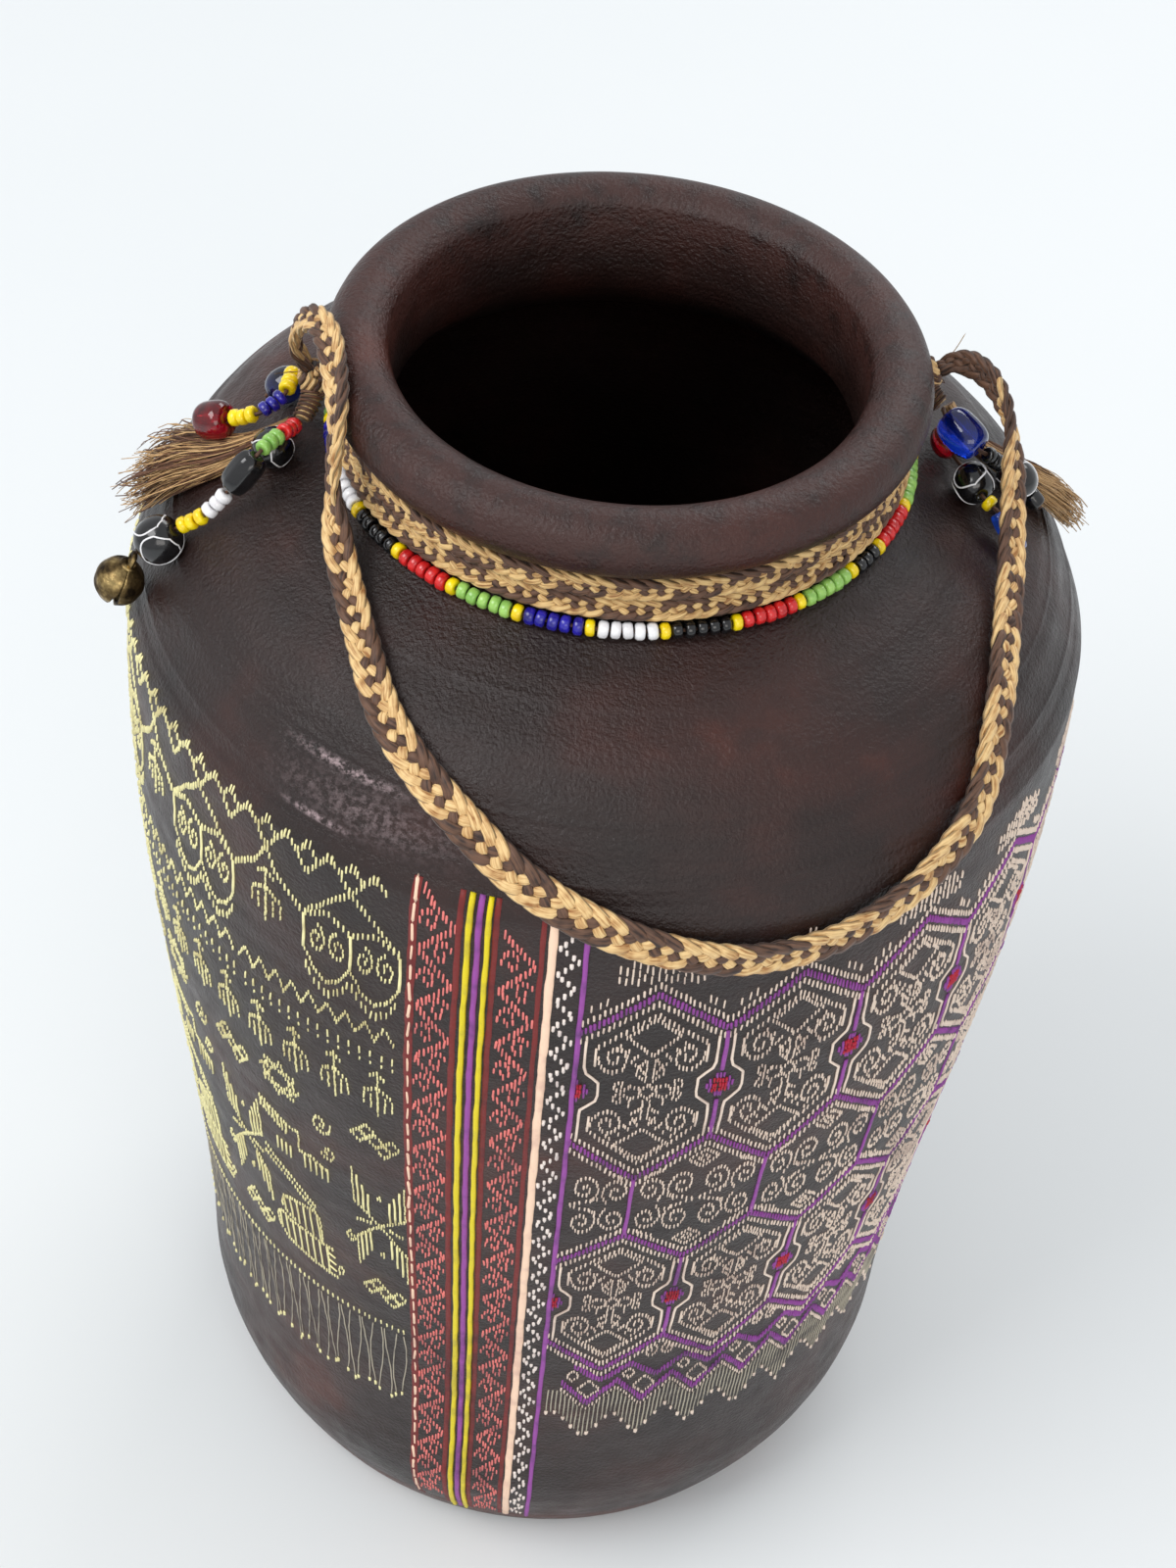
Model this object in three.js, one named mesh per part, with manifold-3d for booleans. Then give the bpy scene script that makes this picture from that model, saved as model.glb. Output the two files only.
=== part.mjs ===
// Terracotta jar with a painted body, a braided carrying strap, a beaded neck and hung ornaments.
// Units are millimetres, +Z is up, the origin is the centre of the base's underside, -Y is the front.

import * as THREE from 'three';
import { mergeVertices } from 'three/addons/utils/BufferGeometryUtils.js';
import Module from 'manifold-3d';

const wasm = await Module();
wasm.setup();

// Jar body: heights are above the base's underside, radii are to the outer face
const footRadius = 85.5;
const heelRadius = 97.2;
const heelHeight = 40;
const bellyRadius = 112.5;
const bellyHeight = 250;
const ridgeRadius = 111.8;
const ridgeHeight = 283;
const neckRadius = 60;
const neckBaseHeight = 325.5;
const wallThickness = 7.5;
const floorThickness = 10;
const footChamfer = 1.2;

// How far the shoulder's curve leaves the ridge and reaches the neck along its end tangents
const ridgeTangent = new THREE.Vector2(-12.8, 29.6);
const neckTangent = new THREE.Vector2(31.3, -12.6);

// Rolled rim
const rimRollRadius = 7.6;
const rimOverhang = 7.3;
const neckHeight = 13;

// Neck winding and bead string
const seat = 0.3;
const neckCordDiameter = 4.6;
const neckCordGap = 1;
const neckCordLift = 4.9;
const seedDiameter = 4;
const seedWaist = 2.7;
const seedBore = 1.7;
const threadDiameter = 1;
const seedLift = 0.6;
const firstSpacerAzimuth = -43.9;

// Carrying strap and the knots that hold it
const strapDiameter = 6;
const strapEndGap = 0.7;
const knotDiameter = 8.4;
const knotLength = 5.2;
const leftKnotRise = 60;
const rightKnotRise = 25;
const leftKnotAzimuth = -90.8;
const rightKnotAzimuth = 104.9;

// Hung beads: diameter and length of each
const redGlass = { diameter: 9, length: 8.6 };
const blueGlass = { diameter: 9.2, length: 11.6 };
const darkBlueGlass = { diameter: 8.4, length: 9 };
const smallRedGlass = { diameter: 8, length: 8 };
const longBlueGlass = { diameter: 4.6, length: 10.5 };
const trailBead = { diameter: 11, length: 10.6 };
const swirlBead = { diameter: 9.2, length: 9 };
const barrelBead = { diameter: 7.4, length: 10.4 };
const smallBlackBead = { diameter: 4.4, length: 3.6 };
const beadBore = 1.7;
const beadGap = 0.35;
const seedPitch = 2.36;

// Bell and its loose pellet
const bellDiameter = 11.5;
const bellWall = 0.9;
const bellSlit = 1.8;
const bellLoopDiameter = 4.4;
const bellLoopWire = 1.3;
const bellClearance = 0.87;
const pelletDiameter = 3.2;

// Tassels: width across and thickness at the cut end
const leftTassel = { width: 20, thickness: 5.5, rootWidth: 4.4 };
const rightTassel = { width: 11, thickness: 7, rootWidth: 4.6 };

const jarSides = 48;
const glassSides = 10;
const seedSides = 6;

const colours = {
  slip: 0x2e1a15, cord: 0xb98c55, darkCord: 0x4a3020, red: 0xd3201e, green: 0x8fc060, blue: 0x1e2496,
  white: 0xf2f0ea, black: 0x111111, yellow: 0xf2d416, redGlass: 0x8e1220, blueGlass: 0x1238b8,
  darkBlueGlass: 0x141c4c, brass: 0x86703a,
};

const part = new THREE.Group();

function addMesh(name, geometry, colour, roughness = 0.6, metalness = 0) {
  const material = new THREE.MeshStandardMaterial({ color: colour, roughness, metalness });
  const mesh = new THREE.Mesh(geometry, material);
  mesh.name = name;
  part.add(mesh);
  return mesh;
}

function radians(degrees) {
  return degrees * Math.PI / 180;
}

// Azimuth 0 is the front and grows towards +X
function polar(azimuth, radius, height) {
  const angle = radians(azimuth);
  return new THREE.Vector3(radius * Math.sin(angle), -radius * Math.cos(angle), height);
}

// Solids made from rings of points
function closedLoft(rings) {
  const sides = rings[0].length;
  const positions = [];
  const indices = [];
  const middles = [rings[0], rings[rings.length - 1]].map((ring) => {
    const middle = new THREE.Vector3();
    ring.forEach((point) => middle.addScaledVector(point, 1 / sides));
    return middle;
  });
  rings.forEach((ring) => ring.forEach((point) => positions.push(point.x, point.y, point.z)));
  middles.forEach((point) => positions.push(point.x, point.y, point.z));
  const startMiddle = rings.length * sides;
  const endMiddle = startMiddle + 1;
  const lastRing = (rings.length - 1) * sides;
  for (let side = 0; side < sides; side += 1) {
    const next = (side + 1) % sides;
    for (let ring = 0; ring < rings.length - 1; ring += 1) {
      const near = ring * sides;
      const far = near + sides;
      indices.push(near + side, near + next, far + next);
      indices.push(near + side, far + next, far + side);
    }
    indices.push(startMiddle, next, side);
    indices.push(endMiddle, lastRing + side, lastRing + next);
  }
  const geometry = new THREE.BufferGeometry();
  geometry.setAttribute('position', new THREE.Float32BufferAttribute(positions, 3));
  geometry.setIndex(indices);
  return geometry;
}

// One ring of a sweep: a flat oval across the direction of travel, wide along sideways
function ovalRing(centre, direction, sideways, halfWidth, halfHeight, sides) {
  const across = sideways.clone().addScaledVector(direction, -sideways.dot(direction)).normalize();
  const over = new THREE.Vector3().crossVectors(direction, across).normalize();
  const ring = [];
  for (let side = 0; side < sides; side += 1) {
    const angle = 2 * Math.PI * side / sides;
    const point = centre.clone().addScaledVector(across, halfWidth * Math.cos(angle));
    ring.push(point.addScaledVector(over, halfHeight * Math.sin(angle)));
  }
  return ring;
}

// A tube through given points, mitred at each, with its own radius at each
function tubeThrough(points, tubeRadii, sides, upright = new THREE.Vector3(0, 0, 1)) {
  const rings = points.map((point, index) => {
    const before = points[Math.max(index - 1, 0)];
    const after = points[Math.min(index + 1, points.length - 1)];
    const direction = after.clone().sub(before).normalize();
    return ovalRing(point, direction, upright, tubeRadii[index], tubeRadii[index], sides);
  });
  return closedLoft(rings);
}

function toManifold(geometry) {
  const plain = geometry.clone();
  plain.deleteAttribute('normal');
  plain.deleteAttribute('uv');
  const merged = mergeVertices(plain, 1e-4);
  const mesh = new wasm.Mesh({
    numProp: 3,
    vertProperties: Float32Array.from(merged.attributes.position.array),
    triVerts: Uint32Array.from(merged.index.array),
  });
  return new wasm.Manifold(mesh);
}

function fromManifold(solid) {
  const mesh = solid.getMesh();
  const geometry = new THREE.BufferGeometry();
  geometry.setAttribute('position', new THREE.BufferAttribute(mesh.vertProperties, 3));
  geometry.setIndex(new THREE.BufferAttribute(mesh.triVerts, 1));
  return geometry;
}

// Jar outline
function wallRadius(height) {
  if (height < heelHeight) {
    return footRadius + (heelRadius - footRadius) * Math.sin(Math.PI / 2 * height / heelHeight);
  }
  if (height < bellyHeight) {
    const rise = (height - heelHeight) / (bellyHeight - heelHeight);
    return heelRadius + (bellyRadius - heelRadius) * rise * rise * (3 - 2 * rise);
  }
  const fall = (height - bellyHeight) / (ridgeHeight - bellyHeight);
  return bellyRadius - (bellyRadius - ridgeRadius) * fall * fall;
}

const ridge = new THREE.Vector2(ridgeRadius, ridgeHeight);
const neckBase = new THREE.Vector2(neckRadius + 0.5, neckBaseHeight);
const shoulder = new THREE.CubicBezierCurve(
  ridge,
  ridge.clone().add(ridgeTangent),
  neckBase.clone().add(neckTangent),
  neckBase,
);
const rimCentre = new THREE.Vector2(neckRadius + rimOverhang - rimRollRadius, 0);
rimCentre.y = neckBaseHeight + neckHeight + rimRollRadius;
const innerNeckRadius = neckRadius - wallThickness;

function rimPoint(degrees) {
  const angle = radians(degrees);
  return new THREE.Vector2(
    rimCentre.x + rimRollRadius * Math.cos(angle),
    rimCentre.y + rimRollRadius * Math.sin(angle),
  );
}

function inward(curve, share, distance) {
  const tangent = curve.getTangent(share);
  return curve.getPoint(share).add(new THREE.Vector2(-tangent.y, tangent.x).multiplyScalar(distance));
}

const wallSteps = 8;
const heelSteps = 3;
const shoulderSteps = 9;

function jarOutline() {
  const outline = [new THREE.Vector2(0, 0), new THREE.Vector2(footRadius - footChamfer, 0)];
  for (let step = 0; step < heelSteps; step += 1) {
    const height = Math.max(heelHeight * step / heelSteps, footChamfer);
    outline.push(new THREE.Vector2(wallRadius(height), height));
  }
  for (let step = 0; step < wallSteps; step += 1) {
    const height = heelHeight + (ridgeHeight - heelHeight) * step / wallSteps;
    outline.push(new THREE.Vector2(wallRadius(height), height));
  }
  for (let step = 0; step <= shoulderSteps; step += 1) {
    outline.push(shoulder.getPoint(step / shoulderSteps));
  }
  outline.push(new THREE.Vector2(neckRadius, neckBaseHeight + neckHeight / 3));
  for (let degrees = -90; degrees <= 150; degrees += 30) {
    outline.push(rimPoint(degrees));
  }
  outline.push(new THREE.Vector2(innerNeckRadius, neckBaseHeight + neckHeight / 2));
  for (let step = shoulderSteps; step >= 0; step -= 3) {
    outline.push(inward(shoulder, step / shoulderSteps, wallThickness));
  }
  for (let step = wallSteps - 1; step >= 0; step -= 2) {
    const height = heelHeight + (ridgeHeight - heelHeight) * step / wallSteps;
    outline.push(new THREE.Vector2(wallRadius(height) - wallThickness, height));
  }
  outline.push(new THREE.Vector2(footRadius - wallThickness, floorThickness + wallThickness));
  outline.push(new THREE.Vector2(footRadius - 2 * wallThickness, floorThickness));
  outline.push(new THREE.Vector2(0, floorThickness));
  return outline;
}

const turnUp = new THREE.Matrix4().makeRotationX(Math.PI / 2);
const jarGeometry = new THREE.LatheGeometry(jarOutline(), jarSides).applyMatrix4(turnUp);
addMesh('vase_body', jarGeometry, colours.slip, 0.45);

// The outer face from the neck's foot outwards, over the ridge and down the wall
const facePoints = [];
const faceSteps = 200;
const wallReach = 40;
for (let step = 0; step <= faceSteps; step += 1) {
  facePoints.push(shoulder.getPoint(1 - step / faceSteps));
}
for (let down = 1; down <= wallReach; down += 1) {
  facePoints.push(new THREE.Vector2(wallRadius(ridgeHeight - down), ridgeHeight - down));
}
const faceLengths = [0];
for (let index = 1; index < facePoints.length; index += 1) {
  faceLengths.push(faceLengths[index - 1] + facePoints[index].distanceTo(facePoints[index - 1]));
}

// A place on the jar: azimuth, distance along the face from the neck's foot, and lift off the face
function onJar(azimuth, along, lift) {
  let index = 1;
  while (index < faceLengths.length - 1 && faceLengths[index] < along) {
    index += 1;
  }
  const share = (along - faceLengths[index - 1]) / (faceLengths[index] - faceLengths[index - 1]);
  const point = facePoints[index - 1].clone().lerp(facePoints[index], share);
  const direction = facePoints[Math.min(index + 3, facePoints.length - 1)].clone();
  direction.sub(facePoints[Math.max(index - 4, 0)]).normalize();
  return polar(azimuth, point.x - direction.y * lift, point.y + direction.x * lift);
}

// Neck winding: it starts at the left knot, runs once round, climbs behind and ends at the right knot
const loopSteps = 24;
const facetSlack = (radius, steps) => radius * (1 - Math.cos(Math.PI / steps));
const neckCordRadius = neckRadius + neckCordDiameter / 2 + seat + facetSlack(neckRadius, loopSteps);
const lowerTurn = neckBaseHeight + neckCordLift;
const upperTurn = lowerTurn + neckCordDiameter + neckCordGap;
const collarLength = 5;
const loopAngle = 360 / loopSteps;
const climbStart = rightKnotAzimuth + 20;
const climbEnd = leftKnotAzimuth + 360 - 20;

function neckCordHeight(azimuth) {
  const share = THREE.MathUtils.clamp((azimuth - climbStart) / (climbEnd - climbStart), 0, 1);
  return lowerTurn + (upperTurn - lowerTurn) * share * share * (3 - 2 * share);
}

// The straight end of the winding, one diameter long, square to the knot's collar
function straightEnd(azimuth, height, way) {
  const middle = polar(azimuth, neckCordRadius, height);
  const along = polar(azimuth + 90, way, 0);
  const near = middle.clone().addScaledVector(along, collarLength / 2 + seat);
  return [near, near.clone().addScaledVector(along, neckCordDiameter)];
}

const neckCordEnd = rightKnotAzimuth + 360 - loopAngle;
const neckCordSteps = Math.floor((neckCordEnd - leftKnotAzimuth - loopAngle) / loopAngle);
const windingPoints = [];
for (let step = 1; step <= neckCordSteps + 1; step += 1) {
  const azimuth = leftKnotAzimuth + loopAngle * step;
  windingPoints.push(polar(azimuth, neckCordRadius, neckCordHeight(azimuth)));
}
const neckCordPoints = [
  ...straightEnd(leftKnotAzimuth, lowerTurn, 1),
  ...windingPoints,
  ...straightEnd(rightKnotAzimuth, upperTurn, -1).reverse(),
];
const neckCordRadii = neckCordPoints.map(() => neckCordDiameter / 2);
addMesh('neck_cord', tubeThrough(neckCordPoints, neckCordRadii, 6), colours.cord, 0.7);

// The least gap between the winding's turns, measured between points at least half a turn apart
let leastGap = Infinity;
windingPoints.forEach((point, first) => {
  windingPoints.slice(first + loopSteps / 2).forEach((other) => {
    leastGap = Math.min(leastGap, point.distanceTo(other) - neckCordDiameter);
  });
});
console.log('least gap of the neck winding to itself, mm:', leastGap.toFixed(2));

// Knots: a collar that closes the winding, a wrapped body that the strap leaves, and a binding below
function between(start, end, radii, sides) {
  const direction = end.clone().sub(start);
  const points = radii.map((pair) => new THREE.Vector2(pair[1], pair[0] * direction.length()));
  const profile = [new THREE.Vector2(0, points[0].y), ...points];
  profile.push(new THREE.Vector2(0, points[points.length - 1].y));
  const geometry = new THREE.LatheGeometry(profile, sides);
  const turn = new THREE.Quaternion();
  turn.setFromUnitVectors(new THREE.Vector3(0, 1, 0), direction.clone().normalize());
  geometry.applyQuaternion(turn);
  geometry.translate(start.x, start.y, start.z);
  return geometry;
}

const windingOuterRadius = neckCordRadius + neckCordDiameter / 2;

// A knot's axis starts just outside the winding and rises outwards at its own angle
function knotAxis(azimuth, height, rise) {
  const clear = seat + knotDiameter * 0.33 * Math.sin(radians(rise));
  const start = windingOuterRadius + clear;
  const reach = start + knotLength * Math.cos(radians(rise));
  const top = height + knotLength * Math.sin(radians(rise));
  return { inner: polar(azimuth, start, height), outer: polar(azimuth, reach, top) };
}

const leftAxis = knotAxis(leftKnotAzimuth, lowerTurn, leftKnotRise);
const rightAxis = knotAxis(rightKnotAzimuth, upperTurn, rightKnotRise);
const knotProfile = [[0, 0.33], [0.25, 0.48], [0.7, 0.5], [1, 0.4]];

function knot(name, azimuth, axis, height, bindingEnd) {
  const radii = knotProfile.map(([share, size]) => [share, size * knotDiameter]);
  const body = toManifold(between(axis.inner, axis.outer, radii, 10));
  const collarMiddle = polar(azimuth, neckCordRadius, height);
  const along = polar(azimuth + 90, collarLength / 2, 0);
  const from = collarMiddle.clone().sub(along);
  const to = collarMiddle.clone().add(along);
  const reach = neckCordDiameter / 2;
  const collar = toManifold(between(from, to, [[0, reach], [1, reach]], 8));
  const tie = collarMiddle.clone().lerp(axis.outer, 0.6);
  const tongue = toManifold(between(collarMiddle, tie, [[0, reach * 0.8], [1, reach * 0.8]], 8));
  const middle = axis.inner.clone().lerp(axis.outer, 0.6);
  const bindingRadii = [[0, 2.6], [0.7, 2.4], [1, 1.6]];
  const binding = toManifold(between(middle, bindingEnd, bindingRadii, 8));
  const solid = body.add(collar).add(tongue).add(binding);
  return addMesh(name, fromManifold(solid), colours.cord, 0.75);
}

const leftBinding = onJar(-84.6, 10, 5.4);
const rightBinding = onJar(100.6, 8.4, 11.2);
knot('left_knot', leftKnotAzimuth, leftAxis, lowerTurn, leftBinding);
knot('right_knot', rightKnotAzimuth, rightAxis, upperTurn, rightBinding);

// Neck bead string: a thread whose yellow spacers are fused to it, and a run of seeds after each
const beadRuns = [
  ['red', 5], ['green', 5], ['blue', 5], ['white', 5], ['black', 5], ['red', 5], ['green', 5],
  ['black', 3], ['red', 5], ['green', 6], ['white', 5], ['black', 5], ['red', 5], ['green', 5],
  ['blue', 5], ['white', 5], ['black', 5], ['red', 5], ['green', 6], ['blue', 5], ['white', 5],
  ['red', 5], ['green', 5], ['blue', 5], ['white', 5], ['black', 5],
];
const ringBeads = beadRuns.reduce((sum, run) => sum + run[1] + 1, 0);
const beadStep = 360 / ringBeads;
const beadRingRadius = neckRadius + seedDiameter / 2 + 3.1;
const beadRingHeight = neckBaseHeight + seedLift;

// A straight run of seeds with a bore, from start to end
function seedRun(start, end, count) {
  const direction = end.clone().sub(start);
  const length = direction.length();
  const profile = [];
  for (let bead = 0; bead < count; bead += 1) {
    profile.push(new THREE.Vector2(seedWaist / 2, length * bead / count));
    profile.push(new THREE.Vector2(seedDiameter / 2, length * (bead + 0.5) / count));
  }
  profile.push(new THREE.Vector2(seedWaist / 2, length));
  profile.push(new THREE.Vector2(seedBore / 2, length));
  profile.push(new THREE.Vector2(seedBore / 2, 0));
  profile.push(profile[0].clone());
  const geometry = new THREE.LatheGeometry(profile, seedSides);
  const turn = new THREE.Quaternion();
  turn.setFromUnitVectors(new THREE.Vector3(0, 1, 0), direction.normalize());
  geometry.applyQuaternion(turn);
  geometry.translate(start.x, start.y, start.z);
  return geometry;
}

function shortened(start, end, gap) {
  const direction = end.clone().sub(start).normalize();
  return [start.clone().addScaledVector(direction, gap / 2), end.clone().addScaledVector(direction, -gap / 2)];
}

const ringSections = [];
let beadsSoFar = 0;
beadRuns.forEach(([colour, count], index) => {
  const spacer = firstSpacerAzimuth + beadStep * beadsSoFar;
  const runStart = spacer + beadStep / 2;
  const runEnd = runStart + beadStep * count;
  const nearEdge = polar(spacer - beadStep / 2, beadRingRadius, beadRingHeight);
  const farEdge = polar(runStart, beadRingRadius, beadRingHeight);
  ringSections.push([nearEdge.clone().lerp(farEdge, 0.14), threadDiameter / 2]);
  ringSections.push([nearEdge.clone().lerp(farEdge, 0.3), seedDiameter / 2]);
  ringSections.push([nearEdge.clone().lerp(farEdge, 0.7), seedDiameter / 2]);
  ringSections.push([nearEdge.clone().lerp(farEdge, 0.86), threadDiameter / 2]);
  const [from, to] = shortened(farEdge, polar(runEnd, beadRingRadius, beadRingHeight), beadGap / 2);
  const number = String(index + 1).padStart(2, '0');
  addMesh(`neck_beads_${number}_${colour}`, seedRun(from, to, count), colours[colour], 0.25);
  beadsSoFar += count + 1;
});

// A ring through points, closed on itself
function closedRing(sections, sides) {
  const count = sections.length;
  const positions = [];
  const indices = [];
  sections.forEach(([point, radius], index) => {
    const before = sections[(index + count - 1) % count][0];
    const after = sections[(index + 1) % count][0];
    const direction = after.clone().sub(before).normalize();
    const ring = ovalRing(point, direction, new THREE.Vector3(0, 0, 1), radius, radius, sides);
    ring.forEach((corner) => positions.push(corner.x, corner.y, corner.z));
  });
  for (let index = 0; index < count; index += 1) {
    const near = index * sides;
    const far = ((index + 1) % count) * sides;
    for (let side = 0; side < sides; side += 1) {
      const next = (side + 1) % sides;
      indices.push(near + side, near + next, far + next);
      indices.push(near + side, far + next, far + side);
    }
  }
  const geometry = new THREE.BufferGeometry();
  geometry.setAttribute('position', new THREE.Float32BufferAttribute(positions, 3));
  geometry.setIndex(indices);
  return geometry;
}

addMesh('neck_bead_thread', closedRing(ringSections, seedSides), colours.yellow, 0.3);

// Hung strands
function beadProfile(length, diameter, kind) {
  const radius = diameter / 2;
  const half = length / 2;
  const bore = beadBore / 2;
  const shapes = {
    round: [[-1, 0.42], [-0.8, 0.74], [-0.4, 0.97], [0, 1], [0.4, 0.97], [0.8, 0.74], [1, 0.42]],
    barrel: [[-1, 0.7], [-0.8, 0.95], [0, 1], [0.8, 0.95], [1, 0.7]],
    tube: [[-1, 0.66], [-0.7, 1], [0.7, 1], [1, 0.66]],
  };
  const profile = shapes[kind].map(([share, size]) => new THREE.Vector2(size * radius, share * half));
  profile.push(new THREE.Vector2(bore, half));
  profile.push(new THREE.Vector2(bore, -half));
  profile.push(profile[0].clone());
  return profile;
}

function largeBead(start, end, size, kind) {
  const direction = end.clone().sub(start);
  const geometry = new THREE.LatheGeometry(beadProfile(direction.length(), size.diameter, kind), glassSides);
  const turn = new THREE.Quaternion();
  turn.setFromUnitVectors(new THREE.Vector3(0, 1, 0), direction.normalize());
  geometry.applyQuaternion(turn);
  const middle = start.clone().lerp(end, 0.5);
  geometry.translate(middle.x, middle.y, middle.z);
  return geometry;
}

// A strand lies on a route of [azimuth, along, lift] places; its beads follow in order
function strand(name, route, lead, items, tail = 1.2) {
  const curve = new THREE.CatmullRomCurve3(route.map((place) => onJar(...place)), false, 'centripetal');
  curve.arcLengthDivisions = 400;
  const total = curve.getLength();
  const at = (distance) => curve.getPointAt(Math.min(distance / total, 1));
  const stations = [at(0), at(lead)];
  let distance = lead;
  items.forEach((item) => {
    if (item.bare) {
      distance += item.bare;
      stations.push(at(distance));
      return;
    }
    const length = item.count ? item.count * seedPitch : item.size.length;
    const start = at(distance);
    distance += length + beadGap;
    const end = at(distance);
    const [from, to] = shortened(start, end, beadGap);
    if (item.count) {
      addMesh(item.name, seedRun(from, to, item.count), item.colour, 0.25);
    } else {
      addMesh(item.name, largeBead(from, to, item.size, item.kind), item.colour, item.roughness ?? 0.15);
    }
    stations.push(end);
  });
  const last = stations[stations.length - 1];
  const heading = last.clone().sub(stations[stations.length - 2]).normalize();
  const knotStart = last.clone().addScaledVector(heading, 0.2);
  const knotEnd = last.clone().addScaledVector(heading, tail);
  const threadRadius = threadDiameter / 2;
  const points = [...stations, knotStart, knotEnd];
  const radii = points.map(() => threadRadius);
  addMesh(name, tubeThrough(points, radii, 6), colours.darkCord, 0.8);
  return { stations, end: knotEnd, heading };
}

const onShoulder = (size) => size.diameter / 2 + seat;

const longStrand = strand('left_long_thread', [
  [-82.2, 10.4, 6.6], [-78, 12.4, 10], [-75.6, 14.2, 11.8], [-73.8, 16.4, 12.6], [-72.6, 19, 12.3],
  [-72.4, 21.6, 11.2], [-72.4, 24.4, 9.3], [-72.2, 28.4, 6.6], [-72.2, 33, onShoulder(barrelBead) + 0.6],
  [-73.2, 40, 4.5], [-74, 49.6, onShoulder(trailBead) + 0.9], [-74.2, 57, onShoulder(trailBead) + 0.8],
  [-74.4, 64, onShoulder(trailBead) + 0.7],
], 0.6, [
  { name: 'left_red_seeds', count: 3, colour: colours.red },
  { bare: 0.4 },
  { name: 'left_green_seeds', count: 3, colour: colours.green },
  { bare: 1.2 },
  { name: 'black_barrel_bead', size: barrelBead, kind: 'barrel', colour: colours.black },
  { bare: 0.8 },
  { name: 'left_white_seeds', count: 3, colour: colours.white },
  { bare: 0.4 },
  { name: 'left_yellow_seeds', count: 3, colour: colours.yellow },
  { bare: 0.4 },
  { name: 'trail_bead', size: trailBead, kind: 'round', colour: colours.black },
], 0.9);

strand('left_glass_thread', [
  [-95, 12.2, 9.8], [-91, 12.2, 9.8], [-87.6, 12.9, 9.8], [-85.6, 15.2, 9.6], [-85.1, 19.4, 9.4],
  [-86, 23.6, 9], [-87.2, 28, 8.7], [-88.6, 33, 8.7], [-89.2, 38, 7.8],
], 0.6, [
  { name: 'left_upper_seeds', count: 3, colour: colours.yellow },
  { bare: 1.2 },
  { name: 'left_blue_seeds', count: 3, colour: colours.blue },
  { bare: 1 },
  { name: 'left_lower_seeds', count: 3, colour: colours.yellow },
  { name: 'red_glass_bead', size: redGlass, kind: 'round', colour: colours.redGlass },
]);

// A bead fused with its own knotted thread
function boundBead(name, route, lead, size, kind, colour) {
  const curve = new THREE.CatmullRomCurve3(route.map((place) => onJar(...place)), false, 'centripetal');
  const total = curve.getLength();
  const at = (distance) => curve.getPointAt(Math.min(distance / total, 1));
  const start = at(lead);
  const end = at(lead + size.length);
  const direction = end.clone().sub(start).normalize();
  const tailEnd = end.clone().addScaledVector(direction, 1.2);
  const points = [at(0), start, end, tailEnd];
  const thread = toManifold(tubeThrough(points, points.map(() => beadBore / 2 + 0.1), 6));
  const bead = toManifold(largeBead(start, end, size, kind));
  addMesh(name, fromManifold(bead.add(thread)), colour, 0.15);
}

boundBead('dark_blue_glass_bead', [
  [-97.2, 11.6, 6.6], [-96.4, 16, onShoulder(darkBlueGlass) - 0.2], [-94.6, 24, onShoulder(darkBlueGlass) - 0.6],
], 1.2, darkBlueGlass, 'round', colours.darkBlueGlass);
boundBead('left_swirl_bead', [
  [-83.8, 12.6, 4], [-81.8, 14, 4.6], [-79.8, 17.6, onShoulder(swirlBead) + 0.3],
  [-77.2, 22.2, onShoulder(swirlBead) + 0.1], [-75.8, 26, onShoulder(swirlBead)],
], 2.6, swirlBead, 'round', colours.black);

strand('right_blue_thread', [
  [98.4, 8, 12], [94.9, 8, 12.6], [91.6, 12, 12.8], [90.2, 16.3, 12.2], [91, 19.5, 11.4],
  [91.6, 22.5, 10.2], [92, 26, 8.6], [92.6, 32.3, 5.8], [91.6, 38, 4.6], [90.8, 43, 3.8],
], 3.2, [
  { name: 'blue_glass_bead', size: blueGlass, kind: 'barrel', colour: colours.blueGlass },
  { bare: 1.7 },
  { name: 'right_black_seeds', count: 3, colour: colours.black },
  { bare: 0.8 },
  { name: 'right_outer_swirl_bead', size: swirlBead, kind: 'round', colour: colours.black },
  { bare: 0.6 },
  { name: 'small_black_bead', size: smallBlackBead, kind: 'tube', colour: colours.black },
]);

strand('right_red_thread', [
  [100.4, 10.8, 7], [97, 13, onShoulder(smallRedGlass)], [91.8, 17.2, onShoulder(smallRedGlass)],
  [85.8, 21.4, onShoulder(swirlBead) + 0.5], [84.2, 26.4, onShoulder(swirlBead) + 0.3],
  [83.4, 30.4, 3.6], [81.6, 33, 3], [77.4, 34.4, 3],
], 0.8, [
  { name: 'small_red_glass_bead', size: smallRedGlass, kind: 'round', colour: colours.redGlass },
  { bare: 4.2 },
  { name: 'right_inner_swirl_bead', size: swirlBead, kind: 'round', colour: colours.black },
  { bare: 0.8 },
  { name: 'right_yellow_seed', count: 1, colour: colours.yellow },
  { bare: 1.4 },
  { name: 'long_blue_glass_bead', size: longBlueGlass, kind: 'tube', colour: colours.blueGlass },
]);

// Bell: a hollow ball with a loop above and a slit mouth below, and a pellet loose inside
const loopWireRadius = bellLoopWire / 2;
const bellTop = longStrand.end.clone().addScaledVector(longStrand.heading, seat);
const bellRest = onJar(-74.43, 60.03, bellDiameter / 2 + bellClearance);
const bellAxis = bellRest.sub(bellTop).normalize();
const loopCentre = bellTop.clone().addScaledVector(bellAxis, bellLoopDiameter / 2);
const bellCentre = loopCentre.clone().addScaledVector(bellAxis, bellLoopDiameter / 2 + bellDiameter / 2 - 1);

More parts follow.
